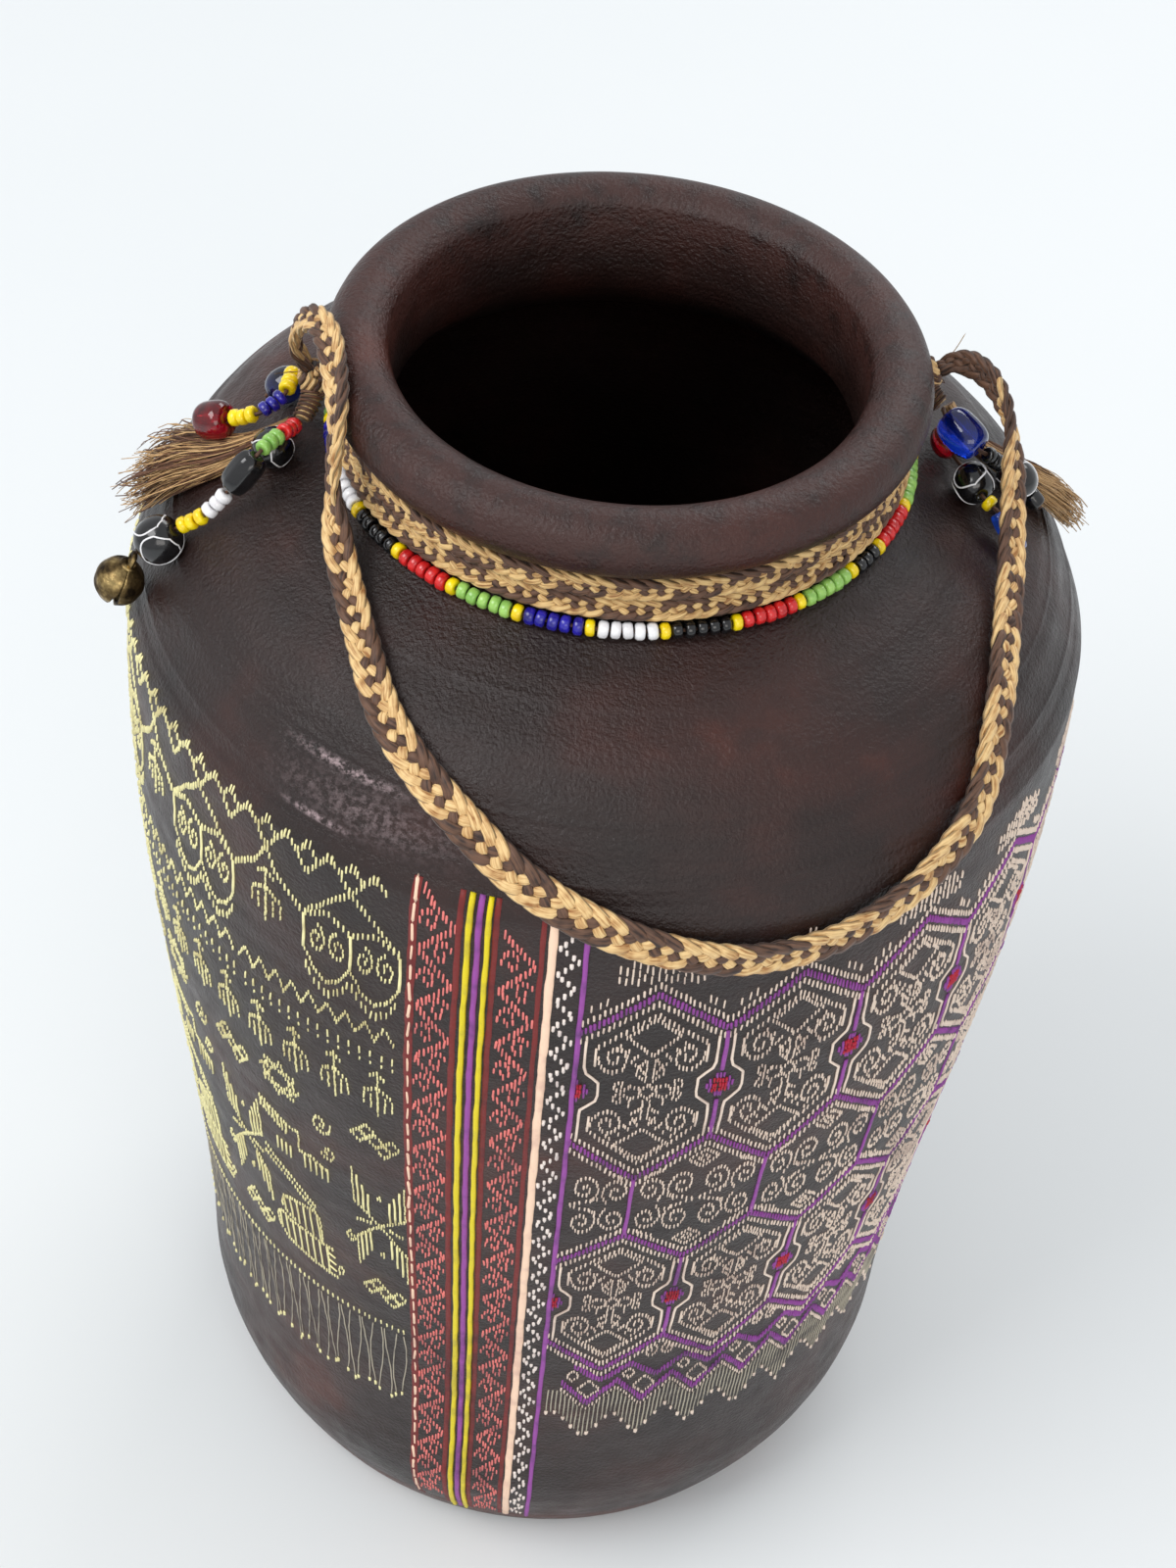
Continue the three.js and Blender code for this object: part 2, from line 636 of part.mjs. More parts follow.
function bellShell() {
  const outer = new THREE.SphereGeometry(bellDiameter / 2, 16, 10);
  const hollow = new THREE.SphereGeometry(bellDiameter / 2 - bellWall, 12, 8);
  const loop = new THREE.TorusGeometry(bellLoopDiameter / 2 - loopWireRadius, loopWireRadius, 6, 12);
  loop.translate(0, bellDiameter / 2 + bellLoopDiameter / 2 - 1, 0);
  const slit = new THREE.BoxGeometry(bellDiameter * 1.2, bellDiameter / 2, bellSlit);
  slit.translate(0, -bellDiameter / 4 - bellDiameter * 0.1, 0);
  const solid = toManifold(outer).add(toManifold(loop)).subtract(toManifold(hollow));
  return fromManifold(solid.subtract(toManifold(slit)));
}

const bellTurn = new THREE.Quaternion();
bellTurn.setFromUnitVectors(new THREE.Vector3(0, -1, 0), bellAxis);
const bell = addMesh('bell_shell', bellShell(), colours.brass, 0.35, 0.9);
bell.quaternion.copy(bellTurn);
bell.position.copy(bellCentre);
const pelletDrop = bellDiameter / 2 - bellWall - pelletDiameter / 2 - seat;
const pellet = addMesh('bell_pellet', new THREE.SphereGeometry(pelletDiameter / 2, 8, 6), colours.brass, 0.5, 0.8);
pellet.position.copy(bellCentre).addScaledVector(bellAxis, pelletDrop);

// Tassels: flared bundles of fibre that lie on the shoulder
function tassel(name, route, size, colour) {
  const steps = 6;
  const middles = route.map((place) => onJar(place[0], place[1], place[2]));
  const curve = new THREE.CatmullRomCurve3(middles, false, 'centripetal');
  const rings = [];
  for (let step = 0; step <= steps; step += 1) {
    const share = step / steps;
    const centre = curve.getPointAt(share);
    const direction = curve.getTangentAt(share);
    const normal = new THREE.Vector3(centre.x, centre.y, 0).normalize().multiplyScalar(0.55);
    normal.z = 0.83;
    const sideways = new THREE.Vector3().crossVectors(direction, normal).normalize();
    const flare = share * share * (3 - 2 * share);
    const halfWidth = (size.rootWidth + (size.width - size.rootWidth) * flare) / 2;
    const halfHeight = (size.rootWidth * 0.7 + (size.thickness - size.rootWidth * 0.7) * flare) / 2;
    rings.push(ovalRing(centre, direction, sideways, halfWidth, halfHeight, 8));
  }
  addMesh(name, closedLoft(rings), colour, 0.8);
}

tassel('left_tassel', [
  [-86.8, 13.8, 2.6], [-85.8, 20.4, 2], [-84.6, 28.5, 2.4], [-87.2, 40, 3], [-90.6, 55, 4.6],
], leftTassel, colours.cord);
tassel('right_tassel', [
  [104.6, 13.4, 8], [101.4, 19, 4.6], [98.4, 30, 3.8], [98.6, 42, 4], [101, 56, 4.4],
], rightTassel, colours.cord);

// Carrying strap: its centre line leaves the left knot, folds over the rim, hangs round the front of the
// shoulder, climbs at the right and arches down to the right knot
const strapPoints = [
  [-73.8, 0.9, 341.2], [-73.6, 0.2, 345.6], [-71.9, -1.8, 350.2],
  [-69, -5.6, 354], [-65.8, -12.2, 356], [-63.9, -19.8, 355.4], [-62.2, -28.8, 352.9],
  [-61.4, -35.2, 347.4], [-60.6, -39, 340], [-59.6, -42.2, 333.4], [-58.3, -46.6, 327.8],
  [-55.8, -54, 324], [-50.8, -68, 320.4], [-43.8, -84.2, 314], [-34.8, -95, 308.3],
  [-23.4, -103.8, 301.4], [-12.2, -110, 294.7], [2.8, -114.2, 287.9], [19.7, -114.2, 281],
  [36.6, -110.2, 275.6], [53.3, -103.2, 274.9], [65.4, -95.7, 277.7], [76.3, -86.8, 284],
  [84.9, -74, 291.4], [88.3, -58, 302.9], [89.1, -39.6, 312.2], [89.1, -28.8, 315.7],
  [88.6, -19.4, 319.2], [88, -12.6, 325.6], [87.2, -7.2, 332.2], [85.4, 1, 339.2],
  [81.8, 9.6, 342.3], [78.6, 15, 342.2], [75.4, 18.6, 341],
].map(([x, y, z]) => new THREE.Vector3(x, y, z));

// The strap's first stretch runs straight out of each knot
function leavingKnot(axis) {
  const direction = axis.outer.clone().sub(axis.inner).normalize();
  const start = axis.outer.clone().addScaledVector(direction, strapEndGap);
  return [start, start.clone().addScaledVector(direction, strapDiameter * 0.6)];
}

const strapRoute = new THREE.CatmullRomCurve3([
  ...leavingKnot(leftAxis), ...strapPoints, ...leavingKnot(rightAxis).reverse(),
], false, 'centripetal');
const strapSection = new THREE.Shape();
const strapSides = 8;
for (let side = 0; side < strapSides; side += 1) {
  const angle = 2 * Math.PI * side / strapSides;
  const corner = [strapDiameter / 2 * Math.cos(angle), strapDiameter / 2 * Math.sin(angle)];
  if (side === 0) {
    strapSection.moveTo(...corner);
  } else {
    strapSection.lineTo(...corner);
  }
}
strapSection.closePath();
const strapGeometry = new THREE.ExtrudeGeometry(strapSection, {
  steps: 60, curveSegments: 1, bevelEnabled: false, extrudePath: strapRoute,
});
addMesh('carry_strap', strapGeometry, colours.cord, 0.7);
console.log('carrying strap length, mm:', strapRoute.getLength().toFixed(1));
console.log('knot axes, mm:', leftAxis, rightAxis);
console.log('bell loop and centre, mm:', bellTop.toArray(), bellCentre.toArray(), bellAxis.toArray());

export default part;
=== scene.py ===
# %% [markdown]
# Terracotta jar with painted cloth patterns, a plaited neck winding, beads and a carrying strap
#
# The jar is one thrown pot. On it lie raised strokes of coloured slip, a plaited cord round the neck, a
# string of seed beads, a braided strap and two clusters of hung beads. Everything here is worked out with
# numpy in metres, in the frame that the solid model gives, and each piece rides on the body that carries it.

# %% Loading the frame
import math

import bpy
import numpy as np
from mathutils import Matrix, Vector


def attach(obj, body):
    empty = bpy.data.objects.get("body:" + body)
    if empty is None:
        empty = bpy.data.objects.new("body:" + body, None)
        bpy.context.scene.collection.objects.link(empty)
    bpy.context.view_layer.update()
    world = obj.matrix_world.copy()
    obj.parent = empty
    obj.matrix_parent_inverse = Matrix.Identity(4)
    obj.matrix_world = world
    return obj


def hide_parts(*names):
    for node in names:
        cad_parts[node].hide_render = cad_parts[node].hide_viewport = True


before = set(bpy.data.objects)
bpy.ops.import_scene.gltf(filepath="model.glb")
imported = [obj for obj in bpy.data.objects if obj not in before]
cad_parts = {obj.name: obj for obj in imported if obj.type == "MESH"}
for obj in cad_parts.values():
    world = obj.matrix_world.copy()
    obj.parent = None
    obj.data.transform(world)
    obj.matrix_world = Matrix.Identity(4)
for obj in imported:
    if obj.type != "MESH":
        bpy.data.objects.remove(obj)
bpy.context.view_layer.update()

# %% [markdown]
# The camera looks down at the jar's front from above, a little rolled. Its place was solved from the jar's
# own rings, so the picture and the render can be laid over each other.

# %% Camera
PITCH, ROLL = math.radians(45.78), math.radians(5.57)
camera_data = bpy.data.cameras.new("camera")
camera_data.lens, camera_data.sensor_width = 67.5, 36.0
camera = bpy.data.objects.new("camera", camera_data)
bpy.context.scene.collection.objects.link(camera)
looks = Vector((0, math.cos(PITCH), -math.sin(PITCH)))
level_up = Vector((0, math.sin(PITCH), math.cos(PITCH)))
to_right = math.cos(ROLL) * Vector((1, 0, 0)) + math.sin(ROLL) * level_up
to_top = -math.sin(ROLL) * Vector((1, 0, 0)) + math.cos(ROLL) * level_up
camera.matrix_world = Matrix.Translation((0, -0.518, 0.7448)) @ Matrix(
    (to_right, to_top, -looks)).transposed().to_4x4()
bpy.context.scene.camera = camera
print("camera looks down by", round(math.degrees(PITCH), 1), "degrees")

# %% [markdown]
# Every new surface is a grid of points: rows along a profile or a path, and columns round it. One function
# turns such grids into faces, so each piece only has to say where its points are. Lengths are written in
# millimetres and turned into metres when the mesh is made.

# %% Grids into meshes
random = np.random.default_rng(7)


def grid_faces(rows, columns, first=0, loop=False):
    """Quads between neighbouring rows of a grid that closes round its columns; loop also closes its rows."""
    i = np.arange(rows if loop else rows - 1)[:, None]
    j = np.arange(columns)[None, :]
    up, over = (i + 1) % rows, (j + 1) % columns
    quads = np.stack([i * columns + j, i * columns + over, up * columns + over, up * columns + j], -1)
    corners = np.stack([np.stack(np.broadcast_arrays((j + a) / columns, i + b), -1)
                        for a, b in ((0, 0), (1, 0), (1, 1), (0, 1))], -2).astype(float)
    return quads.reshape(-1, 4) + first, corners.reshape(-1, 4, 2)


def skin(grid, start=None, end=None, loop=False, lengths=None):
    """A closed skin from a grid of rows x columns points. start and end are middle points that close the
    first and last row as a fan. Texture places are (share round, distance along) in lengths' units."""
    rows, columns = grid.shape[:2]
    points = [grid.reshape(-1, 3)]
    quads, places = grid_faces(rows, columns, loop=loop)
    if lengths is not None:
        steps = np.append(lengths, lengths[-1]) if loop else np.asarray(lengths)
        places[..., 1] = steps[places[..., 1].astype(int)]
    faces, textures = [quads], [places]
    j = np.arange(columns)
    for middle, row, flip in ((start, 0, True), (end, rows - 1, False)):
        if middle is None:
            continue
        centre = sum(len(p) for p in points)
        points.append(np.asarray(middle, float).reshape(1, 3))
        ring, after = row * columns + j, row * columns + (j + 1) % columns
        fan = np.stack([np.full(columns, centre), after if flip else ring, ring if flip else after], -1)
        faces.append(fan)
        textures.append(np.tile(np.array([[0.5, 0.0]]), (columns, 3, 1)).reshape(columns, 3, 2)
                        + np.array([0, places[-1, 0, 1] if row else 0.0]))
    return np.concatenate(points), faces, textures


def joined(shells):
    """Several shells as one, each as (points, faces, texture places)."""
    points, faces, textures, first = [], [], [], 0
    for shell_points, shell_faces, shell_textures in shells:
        points.append(shell_points)
        faces += [f + first for f in shell_faces]
        textures += list(shell_textures)
        first += len(shell_points)
    return np.concatenate(points), faces, textures


def copies(shell, places):
    """One shell repeated: places is n x 4 x 4, in the shell's own units."""
    points, faces, textures = shell
    count, size = len(places), len(points)
    moved = np.einsum("nij,kj->nki", places[:, :3, :3], points) + places[:, None, :3, 3]
    offsets = (np.arange(count) * size)[:, None, None]
    return (moved.reshape(-1, 3), [(f[None] + offsets).reshape(-1, f.shape[1]) for f in faces],
            [np.tile(t, (count, 1, 1)) for t in textures])


print("grid recipes ready")

# %% [markdown]
# One function puts a finished shell into the scene. It writes the points and faces, gives the piece its
# material, lets it ride on its body, hides the solids that it stands for, and says how many
# triangles it has.

# %% Putting a piece into the scene
def put(name, shell, material, body, node=(), smooth=True, shades=None):
    """Puts a shell given in millimetres into the scene. shades gives each face its material's number."""
    points, faces, textures = shell
    name = name.replace(" ", "_")
    mesh = bpy.data.meshes.new(name)
    mesh.vertices.add(len(points))
    mesh.vertices.foreach_set("co", (np.asarray(points) / 1000).astype(np.float32).ravel())
    corners = np.concatenate([f.ravel() for f in faces])
    totals = np.concatenate([np.full(len(f), f.shape[1]) for f in faces])
    mesh.loops.add(len(corners))
    mesh.loops.foreach_set("vertex_index", corners.astype(np.int32))
    mesh.polygons.add(len(totals))
    mesh.polygons.foreach_set("loop_start", np.concatenate([[0], np.cumsum(totals)[:-1]]).astype(np.int32))
    mesh.polygons.foreach_set("use_smooth", np.full(len(totals), smooth))
    layer = mesh.uv_layers.new(name="UVMap")
    layer.data.foreach_set("uv", np.concatenate([t.reshape(-1, 2)
                                                 for t in textures]).astype(np.float32).ravel())
    for one in (material if isinstance(material, (list, tuple)) else [material]):
        mesh.materials.append(one)
    if shades is not None:
        mesh.polygons.foreach_set("material_index", np.asarray(shades).astype(np.int32))
    mesh.update(calc_edges=True)
    mesh.validate()
    piece = bpy.data.objects.new(name, mesh)
    bpy.context.scene.collection.objects.link(piece)
    if body:
        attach(piece, body)
    nodes = [node] if isinstance(node, str) else list(node)
    if nodes:
        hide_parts(*nodes)
    print(f"{name}: {int((totals - 2).sum())} triangles")
    return piece


# %% [markdown]
# Paths: a cord or a thread follows a smooth curve through a few places. The curve is a centripetal
# Catmull-Rom spline, which never loops between close points. A ribbon or tube carries an outline along it,
# and its flat side is held towards a direction that is given at each place.

# %% Paths and sweeps
def spline(places, per_span=24):
    """Centripetal Catmull-Rom: each span is a cubic whose end slopes come from the square roots of the
    distances to the places before and after it."""
    p = np.asarray(places, float)
    p = np.vstack([2 * p[0] - p[1], p, 2 * p[-1] - p[-2]])
    d = np.sqrt(np.linalg.norm(np.diff(p, axis=0), axis=1))[:, None]
    before, here, after = d[:-2], d[1:-1], d[2:]
    p0, p1, p2, p3 = p[:-3], p[1:-2], p[2:-1], p[3:]
    m1 = ((p1 - p0) / before - (p2 - p0) / (before + here) + (p2 - p1) / here) * here
    m2 = ((p2 - p1) / here - (p3 - p1) / (here + after) + (p3 - p2) / after) * here
    t = np.linspace(0, 1, per_span, endpoint=False)[None, :, None]
    a, b, c, e = p1[:, None], m1[:, None], p2[:, None], m2[:, None]
    cubic = a + b * t + (3 * (c - a) - 2 * b - e) * t ** 2 + (2 * (a - c) + b + e) * t ** 3
    return np.vstack([cubic.reshape(-1, p.shape[1]), p[-2]])


def distances(path):
    """How far along the path each of its points lies."""
    return np.concatenate([[0], np.cumsum(np.linalg.norm(np.diff(path, axis=0), axis=1))])


def read_off(given_at, values, where):
    """Rows of values that are given at some distances, read off at others."""
    return np.stack([np.interp(where, given_at, column) for column in values.T], -1)


def at(path, where):
    """Points of a path at given distances along it."""
    return read_off(distances(path), path, where)


def unit(v):
    """Vectors along the last axis, each made one long."""
    return v / np.maximum(np.linalg.norm(v, axis=-1, keepdims=True), 1e-9)


def headings(path):
    """The way a path runs at each of its points."""
    return unit(np.gradient(path, axis=0))


def carried(path, upwards, outline, closed_ends=True, lengths=None):
    """An outline (n x m x 2, or m x 2) carried along a path. Its first axis lies across the path, its second
    along upwards, made square to the path."""
    heading = headings(path)
    up = unit(upwards - (upwards * heading).sum(1, keepdims=True) * heading)
    across = np.cross(up, heading)
    shape = np.broadcast_to(outline, (len(path),) + np.shape(outline)[-2:])
    grid = path[:, None] + across[:, None] * shape[..., :1] + up[:, None] * shape[..., 1:]
    ends = (path[0], path[-1]) if closed_ends else (None, None)
    return skin(grid, *ends, lengths=distances(path) if lengths is None else lengths)


def oval(width, height, sides):
    """An ellipse of the given full width and height, anticlockwise."""
    angle = 2 * np.pi * np.arange(sides) / sides
    return np.stack([width / 2 * np.cos(angle), height / 2 * np.sin(angle)], -1)


def standing(origins, axes, leaning=None, sizes=1.0):
    """Placement matrices whose third axis points along axes."""
    z = unit(np.asarray(axes, float))
    other = np.where(np.abs(z[:, 2:]) > 0.9, np.array([[1.0, 0, 0]]), np.array([[0, 0, 1.0]]))
    x = unit(np.cross(other, z) if leaning is None else leaning - (leaning * z).sum(1, keepdims=True) * z)
    placed = np.tile(np.eye(4), (len(z), 1, 1))
    placed[:, :3, :3] = np.stack([x, np.cross(z, x), z], -1) * np.reshape(sizes, (-1, 1, 1))
    placed[:, :3, 3] = origins
    return placed


# %% [markdown]
# The jar's outline is the same as the solid model's: a foot, a slowly swelling wall, a ridge, a domed
# shoulder, a short neck and a rolled rim. One table of heights and radii serves the jar's mesh, the paint
# that lies on it and the beads that hang over it.

# %% The jar's outline
FOOT, HEEL, HEEL_Z, BELLY, BELLY_Z, RIDGE, RIDGE_Z = 85.5, 97.2, 40.0, 112.5, 250.0, 111.8, 283.0
NECK, NECK_Z, WALL, FLOOR = 60.0, 325.5, 7.5, 10.0
RIM, RIM_OVER, NECK_TALL = 7.6, 7.3, 13.0


def wall_radius(z):
    """Foot to heel is a quarter sine, heel to belly an S-curve, belly to ridge a parabola."""
    rise, fall = (z - HEEL_Z) / (BELLY_Z - HEEL_Z), (z - BELLY_Z) / (RIDGE_Z - BELLY_Z)
    low = FOOT + (HEEL - FOOT) * np.sin(np.pi / 2 * np.clip(z / HEEL_Z, 0, 1))
    mid = HEEL + (BELLY - HEEL) * rise * rise * (3 - 2 * rise)
    return np.where(z < HEEL_Z, low, np.where(z < BELLY_Z, mid, BELLY - (BELLY - RIDGE) * fall * fall))


def shoulder_curve(t):
    """A cubic from the ridge (t = 0) to the neck's foot (t = 1), as (radius, height)."""
    p = np.array([[RIDGE, RIDGE_Z], [RIDGE - 12.8, RIDGE_Z + 29.6],
                  [NECK + 31.8, NECK_Z - 12.6], [NECK + 0.5, NECK_Z]])
    t = np.asarray(t, float)[:, None]
    return (1 - t) ** 3 * p[0] + 3 * (1 - t) ** 2 * t * p[1] + 3 * (1 - t) * t * t * p[2] + t ** 3 * p[3]


def rim_curve(first, last, points):
    """The rolled rim's circle from one angle to another, in degrees, as (radius, height)."""
    turn = np.radians(np.linspace(first, last, points))
    return np.stack([NECK + RIM_OVER - RIM + RIM * np.cos(turn),
                     NECK_Z + NECK_TALL + RIM + RIM * np.sin(turn)], -1)


def round_axis(radius, turn):
    """A radius at an angle in radians from the front, as (to the right, away from the viewer)."""
    return radius * np.sin(turn), -radius * np.cos(turn)


def onto_face(azimuth, along, lift):
    """A place on the shoulder by azimuth, distance along the face from the neck's foot, and lift off it."""
    below = RIDGE_Z - np.arange(1.0, 41)
    face = np.vstack([shoulder_curve(np.linspace(1, 0, 201)), np.stack([wall_radius(below), below], -1)])
    d = distances(face)
    k = np.clip(np.searchsorted(d, along), 1, len(d) - 2)
    share = (along - d[k - 1]) / (d[k] - d[k - 1])
    point = face[k - 1] * (1 - share) + face[k] * share
    heading = unit(face[min(k + 3, len(face) - 1)] - face[max(k - 4, 0)])
    r, z = point[0] - heading[1] * lift, point[1] + heading[0] * lift
    return np.array([*round_axis(r, math.radians(azimuth)), z])


outer_face = np.vstack([np.stack([wall_radius(np.arange(0, RIDGE_Z, 1.0)), np.arange(0, RIDGE_Z, 1.0)], -1),
                        shoulder_curve(np.linspace(0, 1, 120))])
face_slopes = headings(outer_face)


def thrown(z, azimuth):
    """The marks of throwing, in millimetres off the true outline: shallow ribs that wander a little as they
    go round, and raised rings on the shoulder where the potter's rib was lifted."""
    turn = np.radians(azimuth)
    ribs = 0.10 * np.sin(z / 1.15 + 0.6 * np.sin(turn + 1) + 2.1 * np.sin(z / 17))
    ribs = ribs * (0.35 + 0.65 * np.sin(z / 23 + 0.7) ** 2) * np.clip((z - 4) / 12, 0, 1)
    rings = sum(h * np.exp(-((z - c - 0.25 * np.sin(turn + p)) / w) ** 2) for c, h, w, p in (
        (292.2, 0.28, 0.5, 0), (303.2, 0.24, 0.5, 2), (288.4, -0.22, 0.7, 1), (311.5, 0.12, 0.5, 3),
        (318.0, 0.12, 0.4, 5), (10.5, -0.25, 1.0, 0)))
    sway = 0.14 * np.sin(2 * turn + z / 70) + 0.10 * np.sin(3 * turn - z / 41 + 1)
    return ribs + rings + sway * np.clip((z - 2) / 30, 0, 1)


def on_jar(azimuth, z, lift=0.0):
    """Points on the thrown outer wall by azimuth in degrees (0 is the front) and height in millimetres."""
    azimuth, z = np.broadcast_arrays(np.asarray(azimuth, float), np.asarray(z, float))
    r = np.interp(z, outer_face[:, 1], outer_face[:, 0])
    slope_r = np.interp(z, outer_face[:, 1], face_slopes[:, 0])
    slope_z = np.interp(z, outer_face[:, 1], face_slopes[:, 1])
    off = thrown(z, azimuth) + lift
    r, height = r + slope_z * off, z - slope_r * off
    return np.stack([*round_axis(r, np.radians(azimuth)), height], -1)


print("height of the jar, mm:", NECK_Z + NECK_TALL + 2 * RIM)

# %% [markdown]
# Materials come first, so that each piece can name its own. A few helpers keep the node trees short: one makes
# any node and sets its sockets by name, and the others make a ramp, a mix, a sum, a change of range and an
# empty group.

# %% Node helpers
def node(tree, kind, settings=None, **inputs):
    """One shader node; settings are its own properties and inputs its sockets, by name with _ for spaces."""
    made = tree.nodes.new("ShaderNode" + kind)
    for key, value in (settings or {}).items():
        setattr(made, key, value)
    for key, value in inputs.items():
        by_number = key[0] == "i" and key[1:].isdigit()
        socket = made.inputs[int(key[1:]) if by_number else key.replace("_", " ")]
        if isinstance(value, bpy.types.NodeSocket):
            tree.links.new(value, socket)
        elif hasattr(socket, "default_value"):
            socket.default_value = value
    return made


def colour(red, green, blue):
    """A screen colour (0 to 255) as the linear colour that shaders use."""
    c = np.array([red, green, blue]) / 255
    return (*np.where(c <= 0.04045, c / 12.92, ((c + 0.055) / 1.055) ** 2.4), 1.0)


def ramp(tree, value, *stops):
    """A colour ramp with stops of (place, colour)."""
    made = node(tree, "ValToRGB", Fac=value)
    band = made.color_ramp.elements
    while len(band) < len(stops):
        band.new(1.0)
    for element, (place, shade) in zip(band, stops):
        element.position, element.color = place, shade
    return made.outputs["Color"]


def grey(value):
    """A grey that shaders read as it is."""
    return (value, value, value, 1.0)


def maths(tree, operation, *values, clamp=False):
    """The answer of one sum with up to three values."""
    sockets = {f"i{k}": value for k, value in enumerate(values)}
    return node(tree, "Math", {"operation": operation, "use_clamp": clamp}, **sockets).outputs[0]


def remap(tree, value, low, high, to_low=0.0, to_high=1.0):
    """A value that runs from low to high, as one that runs from to_low to to_high and stops there."""
    return node(tree, "MapRange", Value=value, From_Min=low, From_Max=high, To_Min=to_low,
                To_Max=to_high).outputs[0]


def mixed(tree, share, first, second, blend="MIX"):
    """Two colours mixed by a share; blend may also multiply them."""
    made = node(tree, "Mix", {"data_type": "RGBA", "blend_type": blend})
    for socket, value in ((0, share), (6, first), (7, second)):
        if isinstance(value, bpy.types.NodeSocket):
            tree.links.new(value, made.inputs[socket])
        else:
            made.inputs[socket].default_value = value
    return made.outputs[2]


def group(name, inputs, outputs):
    """An empty node group with named sockets: inputs as (name, kind, value), outputs as (name, kind)."""
    tree = bpy.data.node_groups.new(name, "ShaderNodeTree")
    for label, kind, value in inputs:
        made = tree.interface.new_socket(label, in_out="INPUT", socket_type="NodeSocket" + kind)
        if value is not None:
            made.default_value = value
    for label, kind in outputs:
        tree.interface.new_socket(label, in_out="OUTPUT", socket_type="NodeSocket" + kind)
    return tree, tree.nodes.new("NodeGroupInput"), tree.nodes.new("NodeGroupOutput")


print("node helpers ready")

# %% [markdown]
# Effects that are used more than once are node groups: fine grain with a broad mottle, the pale broken streak
# that a rub leaves on the slip, and fibres that run along a strand. A group gives out values alone, and each
# material turns them into its own colour, shine and relief.

# %% Shared groups
grain, given, told = group(
    "burnished grain", [("Place", "Vector", None), ("Fine", "Float", 900.0), ("Coarse", "Float", 60.0)],
    [("Height", "Float"), ("Mottle", "Float")])
place = given.outputs["Place"]
fine = node(grain, "TexNoise", Vector=place, Scale=given.outputs["Fine"], Detail=3.0, Roughness=0.6)
coarse = node(grain, "TexNoise", Vector=place, Scale=given.outputs["Coarse"], Detail=4.0, Roughness=0.55)
grain.links.new(fine.outputs["Fac"], told.inputs["Height"])
grain.links.new(coarse.outputs["Fac"], told.inputs["Mottle"])

rubs, given, told = group(
    "rubbed streak", [("Place", "Vector", None), ("Height", "Float", 0.3), ("Azimuth", "Float", -0.5),
                      ("Reach", "Float", 0.15), ("Width", "Float", 0.001)], [("Mask", "Float")])
place = given.outputs["Place"]
split = node(rubs, "SeparateXYZ", Vector=place)
back = maths(rubs, "MULTIPLY", split.outputs["Y"], -1.0)
turn = maths(rubs, "ARCTAN2", split.outputs["X"], back)
shares = []
for value, middle, span in ((split.outputs["Z"], "Height", "Width"), (turn, "Azimuth", "Reach")):
    off = maths(rubs, "ABSOLUTE", maths(rubs, "SUBTRACT", value, given.outputs[middle]))
    shares.append(maths(rubs, "SUBTRACT", 1.0, maths(rubs, "DIVIDE", off, given.outputs[span]), clamp=True))
breaks = node(rubs, "TexNoise", Vector=place, Scale=650.0, Detail=3.0, Roughness=0.7)
broken = remap(rubs, breaks.outputs["Fac"], 0.44, 0.62)
whole = maths(rubs, "MULTIPLY", *shares)
rubs.links.new(maths(rubs, "MULTIPLY", whole, broken), told.inputs["Mask"])

fibres, given, told = group(
    "lengthwise fibres", [("Along", "Vector", None), ("Fineness", "Float", 1.0), ("Streak", "Float", 1.0)],
    [("Height", "Float"), ("Shade", "Float"), ("Edge", "Float")])
along = given.outputs["Along"]
stretched = node(fibres, "VectorMath", {"operation": "MULTIPLY"}, i0=along, i1=(13.0, 0.2, 1.0))
scaled = node(fibres, "VectorMath", {"operation": "SCALE"}, i0=stretched.outputs[0],
              Scale=given.outputs["Fineness"])
drawn = node(fibres, "TexNoise", Vector=scaled.outputs[0], Scale=1.0, Detail=2.5, Roughness=0.6)
slow = node(fibres, "TexNoise", Vector=along, Scale=given.outputs["Streak"], Detail=2.0)
both = maths(fibres, "MULTIPLY_ADD", slow.outputs["Fac"], 0.5, drawn.outputs["Fac"])
fibres.links.new(drawn.outputs["Fac"], told.inputs["Height"])
fibres.links.new(maths(fibres, "MULTIPLY", both, 0.67), told.inputs["Shade"])
# Edge is 0 at a strand's two sides and 1 across its faces; the fibre materials darken by it as painted shade
# between strands.
round_way = node(fibres, "SeparateXYZ", Vector=along)
wave = maths(fibres, "SINE", maths(fibres, "MULTIPLY", round_way.outputs["X"], 2 * math.pi))
fibres.links.new(maths(fibres, "ABSOLUTE", wave), told.inputs["Edge"])
print("shared groups:", [g.name for g in bpy.data.node_groups])

# %% [markdown]
# A material starts from its Principled shader. The helpers here put a shared group into it, set its bumps one
# upon the other, and lead values to the shader's sockets.

# %% Material helpers
def material(name, **plain):
    """A new material with its Principled shader; plain values go on the shader's own sockets."""
    made = bpy.data.materials.new(name)
    made.use_nodes = True
    shader = made.node_tree.nodes["Principled BSDF"]
    for key, value in plain.items():
        shader.inputs[key.replace("_", " ")].default_value = value
    return made, made.node_tree, shader


def use(tree, shared, **inputs):
    """A shared group in a material, with values or links on its inputs."""
    made = tree.nodes.new("ShaderNodeGroup")
    made.node_tree = shared
    for key, value in inputs.items():
        if isinstance(value, bpy.types.NodeSocket):
            tree.links.new(value, made.inputs[key])
        else:
            made.inputs[key].default_value = value
    return made


def bump(tree, shader, height, distance, strength=1.0, first=None):
    """Relief from a height, in metres, on top of an earlier bump if first is given."""
    made = node(tree, "Bump", Height=height, Distance=distance, Strength=strength)
    if first is not None:
        tree.links.new(first, made.inputs["Normal"])
    tree.links.new(made.outputs["Normal"], shader.inputs["Normal"])
    return made.outputs["Normal"]


def feed(tree, shader, **links):
    """Links to the shader's sockets, by name with _ for spaces."""
    for key, value in links.items():
        tree.links.new(value, shader.inputs[key.replace("_", " ")])


print("material helpers ready")

